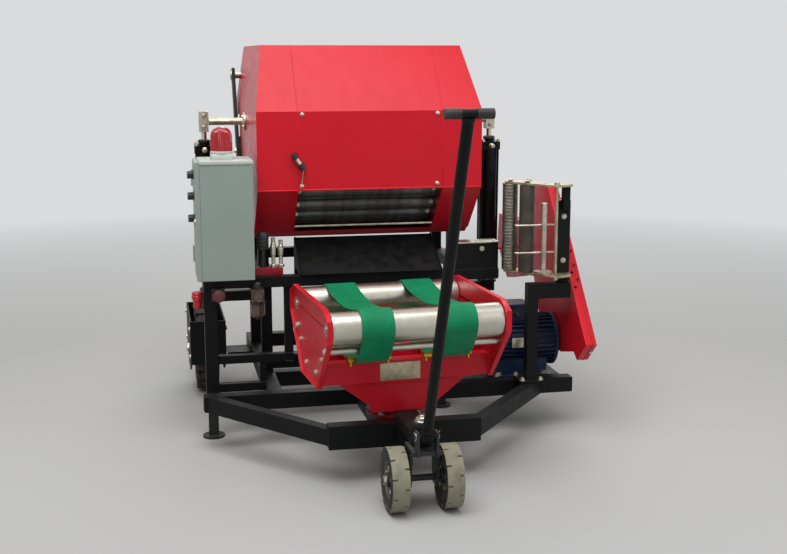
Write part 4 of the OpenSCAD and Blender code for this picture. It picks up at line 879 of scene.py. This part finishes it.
piece("belt_keepers", bm, yellow_zinc, "table", PARKED)
bm = bmesh.new()
block(bm, (-90, -121.6, 338), (46, -120, 396), 0.6)
for x in (-84, 40):
    for z in (344, 390):
        turned(bm, [(3, 0), (2.4, 1.6), (0, 2)], (x, -121.4, z), -Y, 12)
piece("blank_table_plate", bm, tan_zinc, "table", PARKED)

# Floor of pale paint that fades into the backdrop, and soft studio light: a large lamp
# above the front, weak ones from the right and behind, and an even sky
BACKDROP = "#DADBDC"


def backdrop_ray(tree):
    """1 for rays from the camera, from gloss and through glass, which all see the backdrop."""
    rays = add(tree, "LightPath").outputs
    seen = add(tree, "Math", {0: rays["Is Camera Ray"], 1: rays["Is Glossy Ray"]}, operation="MAXIMUM")
    return add(tree, "Math", {0: seen.outputs[0], 1: rays["Is Transmission Ray"]},
               operation="MAXIMUM").outputs[0]


material, tree, shader, place = begin("floor_paint", Roughness=0.75, Specular_IOR_Level=0.2)
shader.inputs["Base Color"].default_value = linear("#B9B9B7")
away = add(tree, "VectorMath", {0: add(tree, "NewGeometry").outputs["Position"]}, operation="LENGTH").outputs["Value"]
fade = add(tree, "MapRange", {0: away, 1: 2.2, 2: 6.5}).outputs[0]
shown = add(tree, "Math", {0: fade, 1: backdrop_ray(tree)}, operation="MULTIPLY").outputs[0]
far = add(tree, "Emission", {"Color": BACKDROP}).outputs[0]
both = add(tree, "MixShader", {0: shown, 1: shader.outputs[0], 2: far}).outputs[0]
tree.links.new(both, tree.nodes["Material Output"].inputs[0])
bm = bmesh.new()
bmesh.ops.create_grid(bm, x_segments=1, y_segments=1, size=30)
mesh = bpy.data.meshes.new("floor")
bm.to_mesh(mesh)
bm.free()
mesh.materials.append(material)
floor = bpy.data.objects.new("floor", mesh)
bpy.context.scene.collection.objects.link(floor)
for name, at, power, size in (("key", (-1.0, -1.7, 5.3), 285, 4.4), ("fill", (3.8, -2.8, 2.6), 45, 3.0),
                              ("back", (1.0, 4.4, 3.4), 70, 3.0)):
    lamp = bpy.data.objects.new(name, bpy.data.lights.new(name, "AREA"))
    lamp.data.energy = power
    lamp.data.size = size
    lamp.location = at
    lamp.rotation_euler = (Vector((0, 0, 0.7)) - Vector(at)).to_track_quat("-Z", "Y").to_euler()
    bpy.context.scene.collection.objects.link(lamp)
world = bpy.data.worlds.new("studio")
bpy.context.scene.world = world
world.use_nodes = True
tree = world.node_tree
glow = add(tree, "MapRange", {0: backdrop_ray(tree), 3: 0.36, 4: 1.0}).outputs[0]
tree.nodes["Background"].inputs["Color"].default_value = linear(BACKDROP)
tree.links.new(glow, tree.nodes["Background"].inputs["Strength"])
